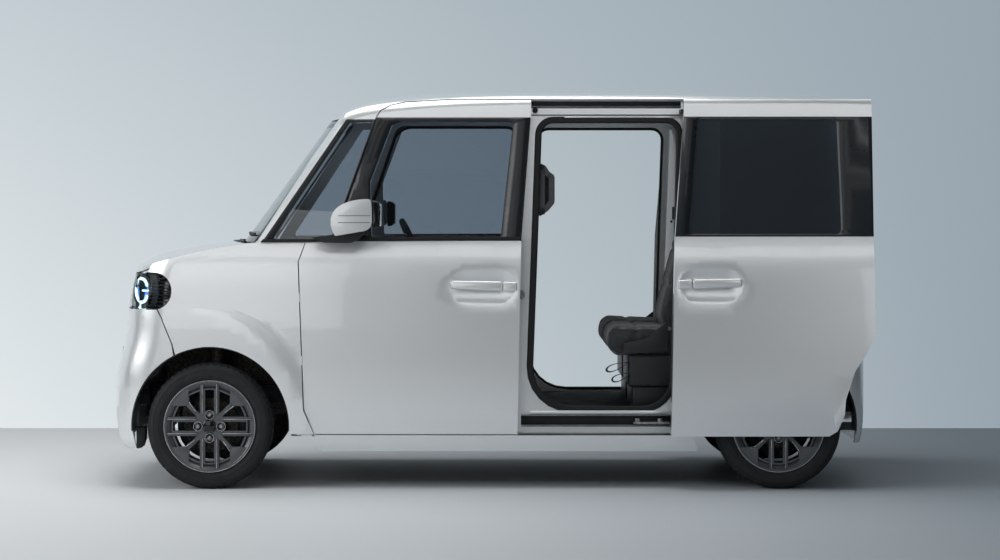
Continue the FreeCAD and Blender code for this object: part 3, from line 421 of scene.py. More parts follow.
def skinOf(node, cuts, keep, facing=(0, 1, 0), least=0.3):
    # the outer faces of a CAD node inside cut planes, as its own sheet; keep tests a face's middle in millimetres
    bm = bmesh.new()
    bm.from_mesh(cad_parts[node].data)
    bmesh.ops.remove_doubles(bm, verts=bm.verts[:], dist=0.00002)
    bm.normal_update()
    away = [f for f in bm.faces if f.normal.dot(Vector(facing)) < least]
    bmesh.ops.delete(bm, geom=away, context="FACES")
    for point, normal in cuts:
        cutBy(bm, point, normal)
    outside = [f for f in bm.faces if not keep(*(f.calc_center_median() / mm))]
    bmesh.ops.delete(bm, geom=outside, context="FACES")
    return bm


def lifted(bm, height):
    bm.normal_update()
    for vert, normal in [(v, v.normal.copy()) for v in bm.verts]:
        vert.co += normal * height * mm
    return bm


def between(low, high):
    # cut planes for a height range
    return [((0, 0, low), (0, 0, 1)), ((0, 0, high), (0, 0, 1))]


# Window surrounds, black from the waist to the roof band

sash = dict(top=1650, pillarTop=1642, pillarFoot=1097, film=1.0)
screens = dict(  # the clear middle of each; its half width narrows by lean
    screenBorder=dict(node="windscreen", body="body", facing=(1, 0, 0.3), half=545, foot=1100, lean=0.1263,
                      low=1140, high=1611),
    tailGlassBorder=dict(node="tailgate_glass", body="tailgate", facing=(-1, 0, 0), half=479, foot=1130, lean=0.0957,
                         low=1168, high=1562),
)


def makeSashes():
    high = sash["top"]
    for name, node, body, low in (("frontSash", "front_door_left", "front_door_left", 1100),
                                  ("slidingSash", "sliding_door_left", "body", 1120)):
        film = skinOf(node, between(low, high), lambda x, y, z: low < z < high)
        onBothSides(name, film, "sash", body, wall=sash["film"])
    low, high = sash["pillarFoot"], sash["pillarTop"]
    slope, corner = Vector((545, 0, 370)).normalized(), Vector((640, 0, 1641))  # the pillar's front edge
    film = skinOf("side_frame_left", between(low, high) + [(corner, slope)],
                  lambda x, y, z: low < z < high and x > 440 and (Vector((x, 0, z)) - corner).dot(slope) < 0)
    onBothSides("pillarFilm", film, "sash", wall=sash["film"])
    # waist mouldings under the windows
    waist = [(1018, 1093), (690, 1096), (690, 1108), (1006, 1108)]
    onBothSides("quarterMoulding", leanIn(plate(waist, 683, 694, 2, 2)), "seal")
    door = [(682, 1097), (-136, 1103), (-138, 1118), (676, 1115)]
    onBothSides("doorMoulding", leanIn(plate(door, 684, 702, 3, 3)), "seal", "front_door_left")


def makeScreenBorders():
    # black bands printed along the edges of the windscreen and of the tailgate's glass
    for name, clear in screens.items():
        def onBand(x, y, z):
            half = clear["half"] - max(z - clear["foot"], 0) * clear["lean"]
            return abs(y) > half or not clear["low"] < z < clear["high"]
        cuts = between(clear["low"], clear["high"])
        for side in (1, -1):
            cuts.append(((0, side * clear["half"], clear["foot"]), (0, side, clear["lean"])))
        newPiece(name, skinOf(clear["node"], cuts, onBand, clear["facing"]), "gloss", clear["body"], wall=0.6)
    print("screen borders made")


makeSashes()
makeScreenBorders()


# Door handles in their dishes

handle = dict(tall=42, proud=15, thick=17, cap=62, gap=1.5, rise=-0.03)  # rise in radians, the rest in millimetres


def gripBar(x0, x1, z, y, flip=False):
    # a pull bar with rounded ends and a lock cap at its rear end, or at its front end when flipped
    tall, thick = handle["tall"] / 2, handle["thick"]
    split, gap = x0 + handle["cap"], handle["gap"]
    out = y + handle["proud"]
    grip = plate([(split + gap, z - tall), (x1, z - tall + 4), (x1, z + tall - 4), (split + gap, z + tall)],
                 out - thick, out, 10, 6, segments=3)
    cap = plate([(x0, z - tall + 2), (split - gap, z - tall), (split - gap, z + tall), (x0, z + tall - 2)],
                out - thick, out, 6, 5, segments=3)
    feet = [block((x1 - 34, y - 12, z - 12), (x1 - 16, out - 8, z + 12), 3),
            block((x0 + 10, y - 12, z - 14), (split - 8, out - 8, z + 14), 3)]
    whole = gathered([grip, cap] + feet)
    middle = Vector(((x0 + x1) / 2, 0, z)) * mm
    bmesh.ops.rotate(whole, cent=middle, matrix=Matrix.Rotation(handle["rise"], 3, "Y"), verts=whole.verts[:])
    if flip:
        bmesh.ops.scale(whole, vec=(-1, 1, 1), space=Matrix.Translation(-middle), verts=whole.verts[:])
    return whole


onBothSides("frontHandle", gripBar(-122, 172, 902, 722), "paint", "front_door_left")
onBothSides("slidingHandle", gripBar(-1108, -830, 914, 832, True), "paint")
print("handles made")


# Rubber seals round the door openings

opening = dict(
    rear=[(-207, 1655, 78), (-868, 1655, 78), (-830, 334, 148), (-158, 334, 208)],
    front=[(-82, 334, 78), (757, 334, 138), (788, 660), (793, 1046), (652, 1122), (468, 1662, 78), (-158, 1662, 78)],
    width=30, trim=18,
)


def makeSeals():
    for name in ("rear", "front"):
        ring = leanIn(plate(opening[name], 628, 649, band=opening["width"]))
        softenEdges(ring, 7, 3, 60)
        onBothSides(name + "OpeningSeal", ring, "seal")
        onBothSides(name + "OpeningTrim", leanIn(plate(opening[name], 584, 629, band=opening["trim"])), "interior")


makeSeals()


# The rear opening's rails, step and catches

def frameY(z):
    # the side frame's outer face at a height
    return cabin["frameSide"] - max(z - cabin["waist"], 0) * cabin["lean"]


def makeOpeningParts():
    # lower rail: a black strip as painted shade in the slot between two steel lips, and the white flange over it
    onBothSides("lowerRailPaintedShade", block((-820, 636, 279), (-140, 641, 320), 1), "seal")
    lips = [block((-818, 636, 320), (-142, 662, 325), 1), block((-818, 636, 272), (-142, 668, 278), 1)]
    onBothSides("lowerRailLips", gathered(lips), "rail")
    onBothSides("stepFlange", block((-800, 634, 328), (-180, 650, 344), 3), "paint")
    onBothSides("sillStep", block((-850, 630, 233), (-130, 668, 240), 2), "trim")
    # upper rail under the roof edge
    channel = [block((-858, frameY(1700) - 6, 1664), (-188, frameY(1700) + 1, 1702), 1),
               block((-858, frameY(1700) - 2, 1699), (-188, frameY(1700) + 14, 1703), 1),
               block((-858, frameY(1660) - 2, 1661), (-188, frameY(1660) + 10, 1665), 1)]
    onBothSides("upperRail", gathered(channel), "rail")
    onBothSides("upperRailSeal", block((-858, frameY(1715) - 4, 1704), (-188, frameY(1715) + 12, 1724), 4), "seal")
    onBothSides("upperFlange", block((-850, frameY(1652) - 3, 1648), (-335, frameY(1652) + 8, 1659), 3), "paint")
    stop = turnedPart([(0, 0.1), (0, 12), (14, 12), (16, 10), (16, 0.1)], (-205, frameY(1690), 1684), closed=False)
    onBothSides("railStop", stop, "seal")
    # roller arm and carriage at the door's foot
    arm = [plate([(-640, 286), (-800, 286), (-800, 296), (-640, 296)], 662, 700, 4, 2)]
    for x in (-660, -760):
        arm.append(rod(-9, 9, 13, (x, 655, 300), "Z"))
    onBothSides("rollerCarriage", gathered(arm), "steel")
    # catches on the rear pillar and the front pillar
    catch = [block((-838, 640, 402), (-826, 668, 470), 3), block((-842, 640, 425), (-818, 676, 440), 4)]
    onBothSides("rearCatch", gathered(catch), "rail", slot="steel")
    striker = [plate([(-152, 838), (-136, 838), (-136, 880), (-152, 880)], 640, 645, 3, 1),
               plate([(-158, 846), (-142, 846), (-142, 872), (-158, 872)], 644, 664, 5, 2, band=5)]
    onBothSides("frontStriker", gathered(striker), "steel")
    # hand grip inside the front pillar
    grip = plate([(-222, 1448), (-252, 1436), (-268, 1408), (-292, 1392), (-292, 1268), (-262, 1232), (-222, 1206)],
                 588, 612, 10, 5, band=26, segments=3)
    onBothSides("pillarGrip", leanIn(grip), "interior")


makeOpeningParts()
print("opening parts made")


# Inner door panels, floor covering and headliner edge

def makeLinings():
    panel = [(730, 1020, 60), (700, 380, 90), (-60, 380, 60), (-100, 700), (-108, 1060, 30), (600, 1085, 40)]
    base = plate(panel, 622, 650.5, edge=12, segments=3)
    pocket = plate([(620, 420, 30), (150, 420, 30), (120, 560, 40), (640, 560, 40)], 596, 624, edge=8)
    rest = plate([(480, 770, 20), (40, 790, 20), (40, 840, 20), (480, 820, 20)], 584, 624, edge=12, segments=3)
    onBothSides("frontDoorLining", gathered([base, pocket, rest]), "interior", "front_door_left")
    panel = [(-860, 1070, 40), (-868, 420, 120), (-1400, 360, 130), (-1480, 420), (-1490, 1070, 40)]
    base = plate(panel, 744, 761, edge=7, segments=3)
    pocket = plate([(-980, 480, 30), (-980, 600, 30), (-1380, 600, 30), (-1360, 480, 30)], 726, 746, edge=8)
    onBothSides("slidingDoorLining", gathered([base, pocket]), "interior")
    floor = [block((-855, -572, 334), (815, 572, 345), 3), block((-1636, -536, 499), (-905, 536, 508), 3)]
    newPiece("floorCarpet", gathered(floor), "carpet")
    front, back, half = 600, -1600, 520  # the headliner's edges
    cuts = [((x, 0, 0), (1, 0, 0)) for x in (front, back)] + [((0, y, 0), (0, 1, 0)) for y in (half, -half)]
    liner = skinOf("roof", cuts, lambda x, y, z: back < x < front and abs(y) < half, (0, 0, -1), 0.6)
    newPiece("headliner", lifted(liner, 2), "paleInterior", wall=4)


makeLinings()
print("linings made")


# Door mirrors

mirrorForm = dict(
    shell=[(690, 1142), (694, 1222), (640, 1268), (562, 1286), (514, 1284), (512, 1152), (596, 1136), (672, 1124)],
    base=[(785, 1116), (727, 1093), (608, 1092), (580, 1106), (548, 1134), (560, 1144), (660, 1134), (700, 1127)],
    grooves=(1182, 1212),
)


def makeMirrors():
    shell = plate(mirrorForm["shell"], 752, 898, 34, 26, segments=6)
    for z in mirrorForm["grooves"]:
        cutBy(shell, (0, 0, z), (0.04, 0, 1))
    backSide = plate([(514, 1150), (482, 1158), (476, 1215), (480, 1272), (514, 1282)], 756, 894, 12, 10, segments=3)
    glass = plate([(474, 1166), (473, 1264), (479, 1264), (479, 1166)], 770, 882, 2, 1)
    stem = plate(mirrorForm["base"], 682, 812, 6, 5)
    left, right = onBothSides("mirrorShell", shell, "paint", "front_door_left", sharp=50)
    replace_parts(left, "mirror_left")
    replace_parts(right, "mirror_right")
    lines = [block((520, 894, z - 1.2), (660, 899, z + 1.2), 0.5) for z in mirrorForm["grooves"]]
    onBothSides("mirrorLines", gathered(lines), "sash", "front_door_left")
    onBothSides("mirrorBack", backSide, "gloss", "front_door_left", sharp=40)
    onBothSides("mirrorGlass", glass, "mirror", "front_door_left")
    onBothSides("mirrorStem", stem, "trim", "front_door_left")


makeMirrors()
print("mirrors made")


# Tyres and wheels, at each axle end

hub = dict(front=1239.5, rear=-1280.5, y=652.5, z=278.5)
wheelSpots = [(axle, sideName, side) for axle in ("front", "rear") for sideName, side in (("left", 1), ("right", -1))]
tyreForm = dict(
    half=[(0, 278.4), (10, 278.4), (12, 272), (19, 272), (21, 278.2), (40, 277.6), (42, 271.5), (48, 271.5),
          (50, 276.8), (58, 274), (66, 268), (68.6, 264.6), (68, 263.4), (72, 259), (74.6, 251.8), (76, 251),
          (76, 249.6), (75, 249), (77.2, 236), (76.8, 229), (77.6, 228), (77.6, 226.6), (76.2, 226), (72, 210),
          (68.5, 203.5), (66.5, 203.5), (64.5, 200.5), (62, 190), (60, 178.4)],
    steps=112, sipe=4.0, sipeEdge=1.2, treadFrom=270,
)
wheelForm = dict(lip=(189, 205), bar=(29, 41.5), barEnds=(52, 188), face=71, lugRing=51, plate=(92, 104, 171),
                 arcReach=194, arcAngles=(61.6, 56, 50, 45, 40, 34, 28.4))
discForms = dict(
    front=[(-16, 57), (-16, 121), (-6, 121), (-6, 74), (20, 70), (20, 57)],
    rear=[(-22, 57), (-22, 108), (12, 108), (22, 98), (22, 57)],
)


def onWheel(name, bm, look, spot, slot, sharp=30):
    # set at one axle end, where it turns with the wheel
    axle, sideName, side = spot
    moved(bm, (hub[axle], side * hub["y"], hub["z"]))
    label = name + axle.capitalize() + sideName.capitalize()
    return newPiece(label, bm, look, "wheel_" + axle + "_" + sideName, slot, sharp)


def makeTyre(spot):
    half = tyreForm["half"]
    bm = turnedPart(half + [(-a, r) for a, r in reversed(half[1:])], steps=tyreForm["steps"])
    blocks = []
    for face in bm.faces:
        middle = face.calc_center_median() / mm
        reach, across = math.hypot(middle.x, middle.z), abs(middle.y)
        turn = math.floor(math.atan2(middle.z, middle.x) / math.tau * tyreForm["steps"])
        if reach > tyreForm["treadFrom"] and turn % 2 == int(across > 45) and (50 < across < 72 or 21 < across < 40):
            blocks.append(face)
    bmesh.ops.inset_region(bm, faces=blocks, thickness=tyreForm["sipeEdge"] * mm, depth=-tyreForm["sipe"] * mm,
                           use_even_offset=False)
    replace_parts(onWheel("tyre", bm, "rubber", spot, "tyre", 24), "tyre_" + spot[0] + "_" + spot[1])


def makeWheelDress(spot):
    top = wheelForm["face"]

    def put(name, bm, look):
        onWheel(name, flipped(bm) if spot[2] < 0 else bm, look, spot, "wheel")

    low, high = wheelForm["lip"]
    put("rimLip", turnedPart([(66.5, low), (73, low), (76.5, low + 5), (76.5, high - 3), (74, high), (66.5, high)],
                             steps=96), "alloy")
    put("rimEdge", turnedPart([(75.5, high - 5), (77.2, high - 4.2), (77.2, high - 2.4), (75.5, high - 1.6)], steps=96),
        "bright")
    bars, plates, edges, lugPocketShades, nuts = [], [], [], [], []
    inner, outer = wheelForm["bar"]
    foot, end = wheelForm["barEnds"]
    near, knee, far = wheelForm["plate"]
    lug, reach = (0, 0, wheelForm["lugRing"]), wheelForm["arcReach"]
    arc = [(reach * math.cos(math.radians(a)), reach * math.sin(math.radians(a))) for a in wheelForm["arcAngles"]]

    def add(group, bm):
        group.append(swung(bm, 90 * quarter))

    for quarter in range(4):
        for flip in (1, -1):
            outline = [(flip * inner, foot), (flip * outer, foot + 12), (flip * outer, end - 4), (flip * inner, end)]
            add(bars, plate(outline, top - 3, top + 5.5, edge=2.6))
            ridge = [(flip * (inner + 1), foot + 4), (flip * (inner + 3), foot + 5), (flip * (inner + 3), end - 2),
                     (flip * (inner + 1), end - 2)]
            add(edges, plate(ridge, top + 5, top + 6.2, edge=0.4))
        bridge = [(-inner, foot - 1), (inner, foot - 1), (inner, 64), (-inner, 64)]
        add(bars, plate(bridge, top - 3, top + 3.5, 6, 2))
        sheet = [(near, knee), (near, far)] + arc + [(far, near), (knee, near)]
        add(plates, plate(sheet, top - 14, top + 3.5, 0, 2))
        web = [(66, 60), (knee - 2, near - 3), (near - 3, knee - 2), (60, 66)]
        add(bars, plate(web, top - 3, top + 4, 0, 2))
        rim = [(62, 67), (near - 4, knee - 2), (near - 1.5, knee + 1), (near - 1.5, knee + 5), (near - 4.5, knee + 5),
               (near - 6.5, knee - 1), (60, 69)]
        add(edges, plate(rim, top + 3.4, top + 4.6, 0, 0.4))
        # each lug pocket is a black cup: painted shade in the recess round the nut
        pocket = [(top - 1, 0.1), (top - 1, 19), (top + 4.5, 19), (top + 4.5, 18), (top + 0.6, 17.5), (top + 0.6, 0.1)]
        add(lugPocketShades, turnedPart(pocket, lug, steps=28, closed=False))
        collar = [(top - 1, 19), (top - 1, 23), (top + 4.6, 22), (top + 6.4, 20.5), (top + 6.4, 19)]
        add(edges, turnedPart(collar, lug, steps=28))
        nut = [(top, 0.1), (top, 9.5), (top + 9, 9.5), (top + 11, 7.5), (top + 11, 0.1)]
        add(nuts, turnedPart(nut, lug, steps=6, closed=False))
    put("spokeBars", gathered(bars), "alloy")
    put("cornerPlates", gathered(plates), "alloy")
    put("cornerEdges", gathered(edges), "bright")
    put("lugPocketsPaintedShade", gathered(lugPocketShades), "seal")
    put("lugNuts", gathered(nuts), "steel")
    cap = [(top - 1, 0.1), (top - 1, 30), (top + 6, 30), (top + 8, 27), (top + 7, 24), (top + 9.5, 12), (top + 10, 0.1)]
    put("hubCap", turnedPart(cap, steps=40, closed=False), "gloss")


def makeBrakes():
    for spot in wheelSpots:
        disc = turnedPart(discForms[spot[0]], steps=64)
        onWheel("brake", flipped(disc) if spot[2] < 0 else disc, "cast", spot, "cast_iron")
    shield = [(-29, 40), (-29, 148), (-24, 152), (-22, 152), (-22, 149), (-26, 146), (-26, 40)]
    for axle, body in (("front", "knuckle_left"), ("rear", "body")):
        bm = turnedPart(shield, (hub[axle], hub["y"], hub["z"]), steps=64)
        onBothSides("dustShield" + axle.capitalize(), bm, "steelDark", body)
    caliper = [block((1300, 600, 300), (1372, 668, 372), 12, 3), block((1262, 574, 300), (1330, 612, 330), 6)]
    onBothSides("caliper", gathered(caliper), "cast", "knuckle_left")


for spot in wheelSpots:
    makeTyre(spot)
    makeWheelDress(spot)
makeBrakes()
print("wheels made")


# Headlamps: clear cover, ribbed dark housing, ring light guide and blue bowl with a painted glow

lamp = dict(centre=(1562, 546, 875), aim=(0.81, 0.59, 0.0), facing=(0.7, 0.7, 0), ringR=53, tubeR=6.5, gap=48)


def makeHeadlamps():
    turn = Vector((0, 1, 0)).rotation_difference(Vector(lamp["aim"]).normalized()).to_matrix()
    cover = skinOf("headlamps", [((0, 0, 0), (0, 1, 0))], lambda x, y, z: y > 0, lamp["facing"], 0.25)
    inside = cover.copy()
    for piece in onBothSides("lampCover", lifted(cover, -3), "lens", wall=3):
        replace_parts(piece, "headlamps")
    onBothSides("lampHousing", lifted(inside, -104), "gloss", wall=3)

    def put(name, bm, look):
        bmesh.ops.rotate(bm, cent=(0, 0, 0), matrix=turn, verts=bm.verts[:])
        onBothSides(name, moved(bm, lamp["centre"]), look, sharp=40)

    guide = bmesh.new()
    circle = bmesh.ops.create_circle(guide, cap_ends=False, segments=14, radius=lamp["tubeR"] * mm)["verts"]
    for vert in circle:  # the tube's section lies across the ring
        vert.co = Vector((vert.co.x + lamp["ringR"] * mm, 0, vert.co.y))
    swung(guide, lamp["gap"] / 2, "Z")
    bmesh.ops.spin(guide, geom=guide.verts[:] + guide.edges[:], cent=(0, 0, 0), axis=(0, 0, 1),
                   angle=math.radians(360 - lamp["gap"]), steps=40)
    bmesh.ops.holes_fill(guide, edges=[e for e in guide.edges if e.is_boundary], sides=20)
    put("lampRing", swung(swung(guide, 90, "X"), 180), "glow")  # its gap lies where the bar runs in
    put("lampBar", block((-lamp["ringR"] - 2, -6, -4), (-12, 8, 4), 3), "glow")
    bowl = [(-14, 0.1), (-13, 18), (-10, 34), (-5, 45), (-3, 48), (-8, 48), (-16, 34), (-19, 0.1)]
    # the bowl's blue glow is painted light, standing for the guide's light on it
    put("lampBowl", turnedPart(bowl, closed=False), "paintedGlowBowl")
    put("lampRim", turnedPart([(-12, 64), (-12, 78), (-2, 80), (4, 76), (2, 66)], steps=64), "gloss")
    put("lampBack", rod(-44, -40, 80), "trim")
    ribs = []
    for z in range(812, 950, 15):
        ribs.append(skinOf("headlamps", between(z, z + 5), lambda x, y, w: y > 0 and z < w < z + 5 and x < 1540,
                           lamp["facing"], 0.25))
    onBothSides("lampRibs", lifted(gathered(ribs), -30), "trim", wall=3)


makeHeadlamps()
print("headlamps made")


# Seats: every pad is a crowned closed form, blown up a little as cloth over foam

pads = dict(  # channels are an axis and a place along it, sides are distances from the middle, in metres
    frontCushion=dict(
        outline=[(-120, 588, 30), (-104, 690, 30), (318, 712, 60), (330, 596, 40)],
        y=(122, 548), cap=26, channels=[(0, 0.02), (0, 0.17)], sides=(0.19, 0.48)),
    frontBackrest=dict(
        outline=[(-118, 650, 30), (-34, 694, 40), (-122, 1150, 60), (-204, 1138, 40)],
        y=(124, 546), cap=24, channels=[(2, 0.83), (2, 0.98)], sides=(0.2, 0.47)),
    frontHeadrest=dict(
        outline=[(-208, 1190, 30), (-126, 1196, 30), (-138, 1328, 36), (-212, 1320, 30)], y=(228, 442), cap=14),
    rearCushion=dict(
        outline=[(-534, 592, 36), (-512, 660, 40), (-540, 712, 22), (-852, 700, 30), (-852, 592, 30)],
        y=(32, 560), cap=10, channels=[(0, -0.66)], sides=(0.1, 0.5), look="quilt"),
    rearBackrest=dict(
        outline=[(-826, 640, 30), (-772, 730, 40), (-884, 1150, 50), (-950, 1132, 40)],
        y=(32, 534), cap=16, channels=[(2, 0.9), (2, 1.06)], sides=(0.12, 0.45), farShift=(-68, 0, 0)),
    rearHeadrest=dict(
        outline=[(-956, 1168, 24), (-900, 1174, 24), (-906, 1266, 30), (-954, 1262, 24)],
        y=(190, 400), cap=12, farShift=(-68, 0, 0)),
)
foam = dict(voxel=8.0, frames=20, pressure=4.0, stiffness=15.0)
stitch = dict(channel=(7, 0.011), side=(6, 0.010))  # how deep in millimetres, how wide in metres


def applied(piece):
    # the mesh that the piece's modifiers give, which then go
    mesh = bpy.data.meshes.new_from_object(piece.evaluated_get(bpy.context.evaluated_depsgraph_get()))
    piece.modifiers.clear()
    return mesh


def blownUp(piece, cap):
    # cloth under light pressure; no point moves further than cap millimetres
    scene = bpy.context.scene
    remesh = piece.modifiers.new("voxels", "REMESH")
    remesh.mode = "VOXEL"
    remesh.voxel_size = foam["voxel"] * mm
    old, piece.data = piece.data, applied(piece)
    bpy.data.meshes.remove(old)
    rest = [v.co.copy() for v in piece.data.vertices]
    cloth = piece.modifiers.new("air", "CLOTH")
    cloth.settings.use_pressure = True
    cloth.settings.uniform_pressure_force = foam["pressure"]
    cloth.settings.effector_weights.gravity = 0.0
    cloth.settings.tension_stiffness = foam["stiffness"]
    cloth.settings.compression_stiffness = foam["stiffness"]
    cloth.point_cache.frame_start = 1
    cloth.point_cache.frame_end = foam["frames"]
    for step in range(1, foam["frames"] + 1):
        scene.frame_set(step)
    shaped = applied(piece)
    for vert, start in zip(shaped.vertices, rest):
        move = vert.co - start
        if move.length > cap * mm:
            vert.co = start + move.normalized() * cap * mm
    piece.data = shaped
    scene.frame_set(1)


def sewn(piece, channels, sides):
    # stitched valleys across the pad, and along both its sides
    normals = [v.normal.copy() for v in piece.data.vertices]
    for vert, normal in zip(piece.data.vertices, normals):
        offsets = [(vert.co[axis] - place, stitch["channel"]) for axis, place in channels]
        offsets += [(abs(vert.co.y) - place, stitch["side"]) for place in sides]
        depths = [deep * math.exp(-(offset / wide) ** 2) for offset, (deep, wide) in offsets]
        vert.co -= normal * max(depths, default=0.0) * mm


def makePad(name, spec):
    look, stands = spec.get("look", "cloth"), "front_seats" if name.startswith("front") else "rear_seats"
    left = newPiece(name + "Left", plate(spec["outline"], *spec["y"], edge=26, segments=4), look, sharp=60)
    blownUp(left, spec["cap"])
    sewn(left, spec.get("channels", ()), spec.get("sides", ()))
    bm = bmesh.new()
    bm.from_mesh(left.data)
    # the far rear seat's backrest and headrest stand further back
    right = newPiece(name + "Right", moved(flipped(bm), spec.get("farShift", (0, 0, 0))), look, sharp=60)
    bm.free()
    for piece in (left, right):
        piece.data.materials.clear()
        piece.data.materials.append(looks[look])
        piece.data.materials.append(looks["cloth"])
        for polygon in piece.data.polygons:
            polygon.use_smooth = True
            polygon.material_index = int(abs(polygon.normal.y) > 0.72)
        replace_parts(piece, stands)


def pullLoop(centre, reach, width, tilt):
    # a flat band in a drop shape, wide at its free front end
    loop = turnedPart([(-5, 9), (5, 9), (5, 11), (-5, 11)], steps=40)
    for vert in loop.verts:
        share = vert.co.x / (10 * mm)
        vert.co.x *= reach / 10
        vert.co.z *= width / 10 * (1 + 0.5 * share)
    return moved(swung(loop, tilt), centre)


def makeSeats():
    for name, spec in pads.items():
        makePad(name, spec)
    base = [block((-96, 150, 336), (290, 520, 560), 18, 3), block((-126, 112, 540), (300, 124, 640), 6),
            block((-126, 546, 540), (300, 558, 640), 6)]
    for y in (290, 380):
        base.append(rod(1120, 1215, 6, (-158, y, 0), "Z", 16))
    onBothSides("frontSeatBase", gathered(base), "trim", slot="interior")
    rear = [block((-826, 72, 336), (-640, 548, 470), 14, 3), block((-836, 60, 440), (-622, 566, 588), 16, 3),
            plate([(-600, 590), (-600, 640), (-700, 660), (-800, 740), (-800, 600)], 566, 578, 10, 3)]
    for y in (250, 340):
        rear.append(rod(1190, 1250, 6, (-882, y, 0), "Z", 16))
    onBothSides("rearSeatBase", gathered(rear), "trim", slot="interior")
    # two pull loops of narrow webbing at the rear seat's side, for its slide and its fold
    loops = [pullLoop((-572, 566, 535), 50, 13, 21), pullLoop((-592, 562, 488), 44, 13, 21)]
    newPiece("rearSeatLoops", gathered(loops), "webbing")


def makePillarTrim():
    # painted inner panel on the rear pillars' inside, with its belt anchor hole
    trim = [(-874, 1636, 20), (-860, 1180), (-846, 770, 20), (-1000, 760, 20), (-1030, 1636, 20)]
    onBothSides("rearPillarTrim", leanIn(plate(trim, 566, 578, edge=4)), "paint")
    onBothSides("rearPillarPlug", rod(0, 3, 6, (-884, 520, 1178)), "seal")


makeSeats()
makePillarTrim()
print("seats made")


# Front end and tail: flap, plates, lamps, wiper

def makeEnds():
    flap = plate([(1572, 268), (1574, 172, 8), (1546, 178, 8), (1536, 215, 10), (1534, 268)], 566, 648, edge=2)
    onBothSides("airFlap", flap, "seal")
    newPiece("frontPlateHolder", block((1660, -160, 470), (1700, 160, 580), 4), "trim")
    newPiece("frontPlate", block((1700, -165, 438), (1703, 165, 603), 1), "plate")
    newPiece("rearPlate", block((-1706.5, -165, 678), (-1703.5, 165, 843), 1), "plate", "tailgate")
    recess = [block((-1706, -290, 862), (-1688, 290, 896), 5, 3), block((-1704, -172, 672), (-1690, 172, 849), 3)]
    newPiece("plateRecess", gathered(recess), "trim", "tailgate")
    wiper = [plate([(-1716, 1128), (-1690, 1128), (-1690, 1160), (-1716, 1160)], -34, 34, 10, 6, segments=3),
             block((-1712, -16, 1140), (-1700, 300, 1158), 4), block((-1704, 40, 1152), (-1694, 420, 1166), 3)]
    newPiece("rearWiper", gathered(wiper), "trim", "tailgate")
    bars = []
    for z in (902, 1030, 1060, 1090, 1120, 1150, 1376):
        bars.append(skinOf("tail_lamps", between(z, z + 7), lambda x, y, w: y > 0 and z < w < z + 7,
                           (-0.7, 0.7, 0), 0.2))
    onBothSides("tailLampBars", gathered(bars), "redLens", wall=2)
    blades = gathered([block((1116, y - reach, 1123), (1123, y, 1135), 2) for y, reach in ((500, 480), (-140, 430))])
    for y in range(-540, 500, 60):  # cut across, so that they can follow the screen's bow
        cutBy(blades, (0, y, 0), (0, 1, 0))
    for vert in blades.verts:
        vert.co.x -= vert.co.y ** 2 / 3.95  # twice the bow's radius at the blades, in metres
    newPiece("wiperBlades", blades, "seal")


def makeDash():
    top = plate([(548, 1000, 20), (575, 1046, 30), (812, 1052, 10), (812, 1000)], -560, 560, edge=14, segments=3)
    hood = plate([(520, 1020, 20), (545, 1085, 25), (690, 1080, 20), (690, 1020)], -480, -220, edge=14, segments=3)
    vents = [block((548, y, 920), (562, y + 110, 975), 8, 3) for y in (-560, 450, -150, 60)]
    newPiece("dashTop", gathered([top, hood] + vents), "interior")
    newPiece("dashScreen", block((538, -95, 905), (556, 95, 1010), 5, 3), "gloss", "body", "interior")


makeEnds()
makeDash()
print("ends and dash made")


# Stage: floor, backdrop, lamps and camera

stage = dict(
    reach=14.0, floorPaintedFalloff=("#939fa8", "#f2f5f7"), backDepth=-2.55, backFoot=0.001, backTop=9.001,
    lowPaintedFalloff=((0.0, "#98a4ae"), (0.45, "#bcc6cc"), (1.0, "#e4eaec")),
    highPaintedFalloff=((0.0, "#98a4ae"), (0.5, "#aab6bd"), (1.0, "#c2ccd2")), airShade="#c4ccd2", airStrength=0.08,
)
camera = dict(place=(-0.047, 12.73, 1.259), lens=97.6, shift=-0.075)


def putSheet(name, bm, material):
    mesh = meshOf(name, bm)
    mesh.materials.append(material)
    placed(name, mesh)


def makeFloor():
    bm = bmesh.new()
    bmesh.ops.create_grid(bm, x_segments=1, y_segments=1, size=stage["reach"])
    material, tree, shader = newMaterial("studioFloor", {"Roughness": 0.6, "Specular IOR Level": 0.3})
    where = addNode(tree, "ShaderNodeTexCoord")
    split = addNode(tree, "ShaderNodeSeparateXYZ", inputs={"Vector": where.outputs["Object"]})
    along = addNode(tree, "ShaderNodeMapRange", inputs={"Value": split.outputs["X"], "From Min": -2.6, "From Max": 2.6})
    # painted light: the floor's colour runs from dark at the car's rear to pale at its front, as the studio light falls
    # off
    shade = addNode(tree, "ShaderNodeValToRGB", None, {"Fac": along.outputs[0]}, zip((0.0, 1.0), stage["floorPaintedFalloff"]))
    tree.links.new(shade.outputs[0], shader.inputs["Base Color"])
    putSheet("studioFloor", bm, material)


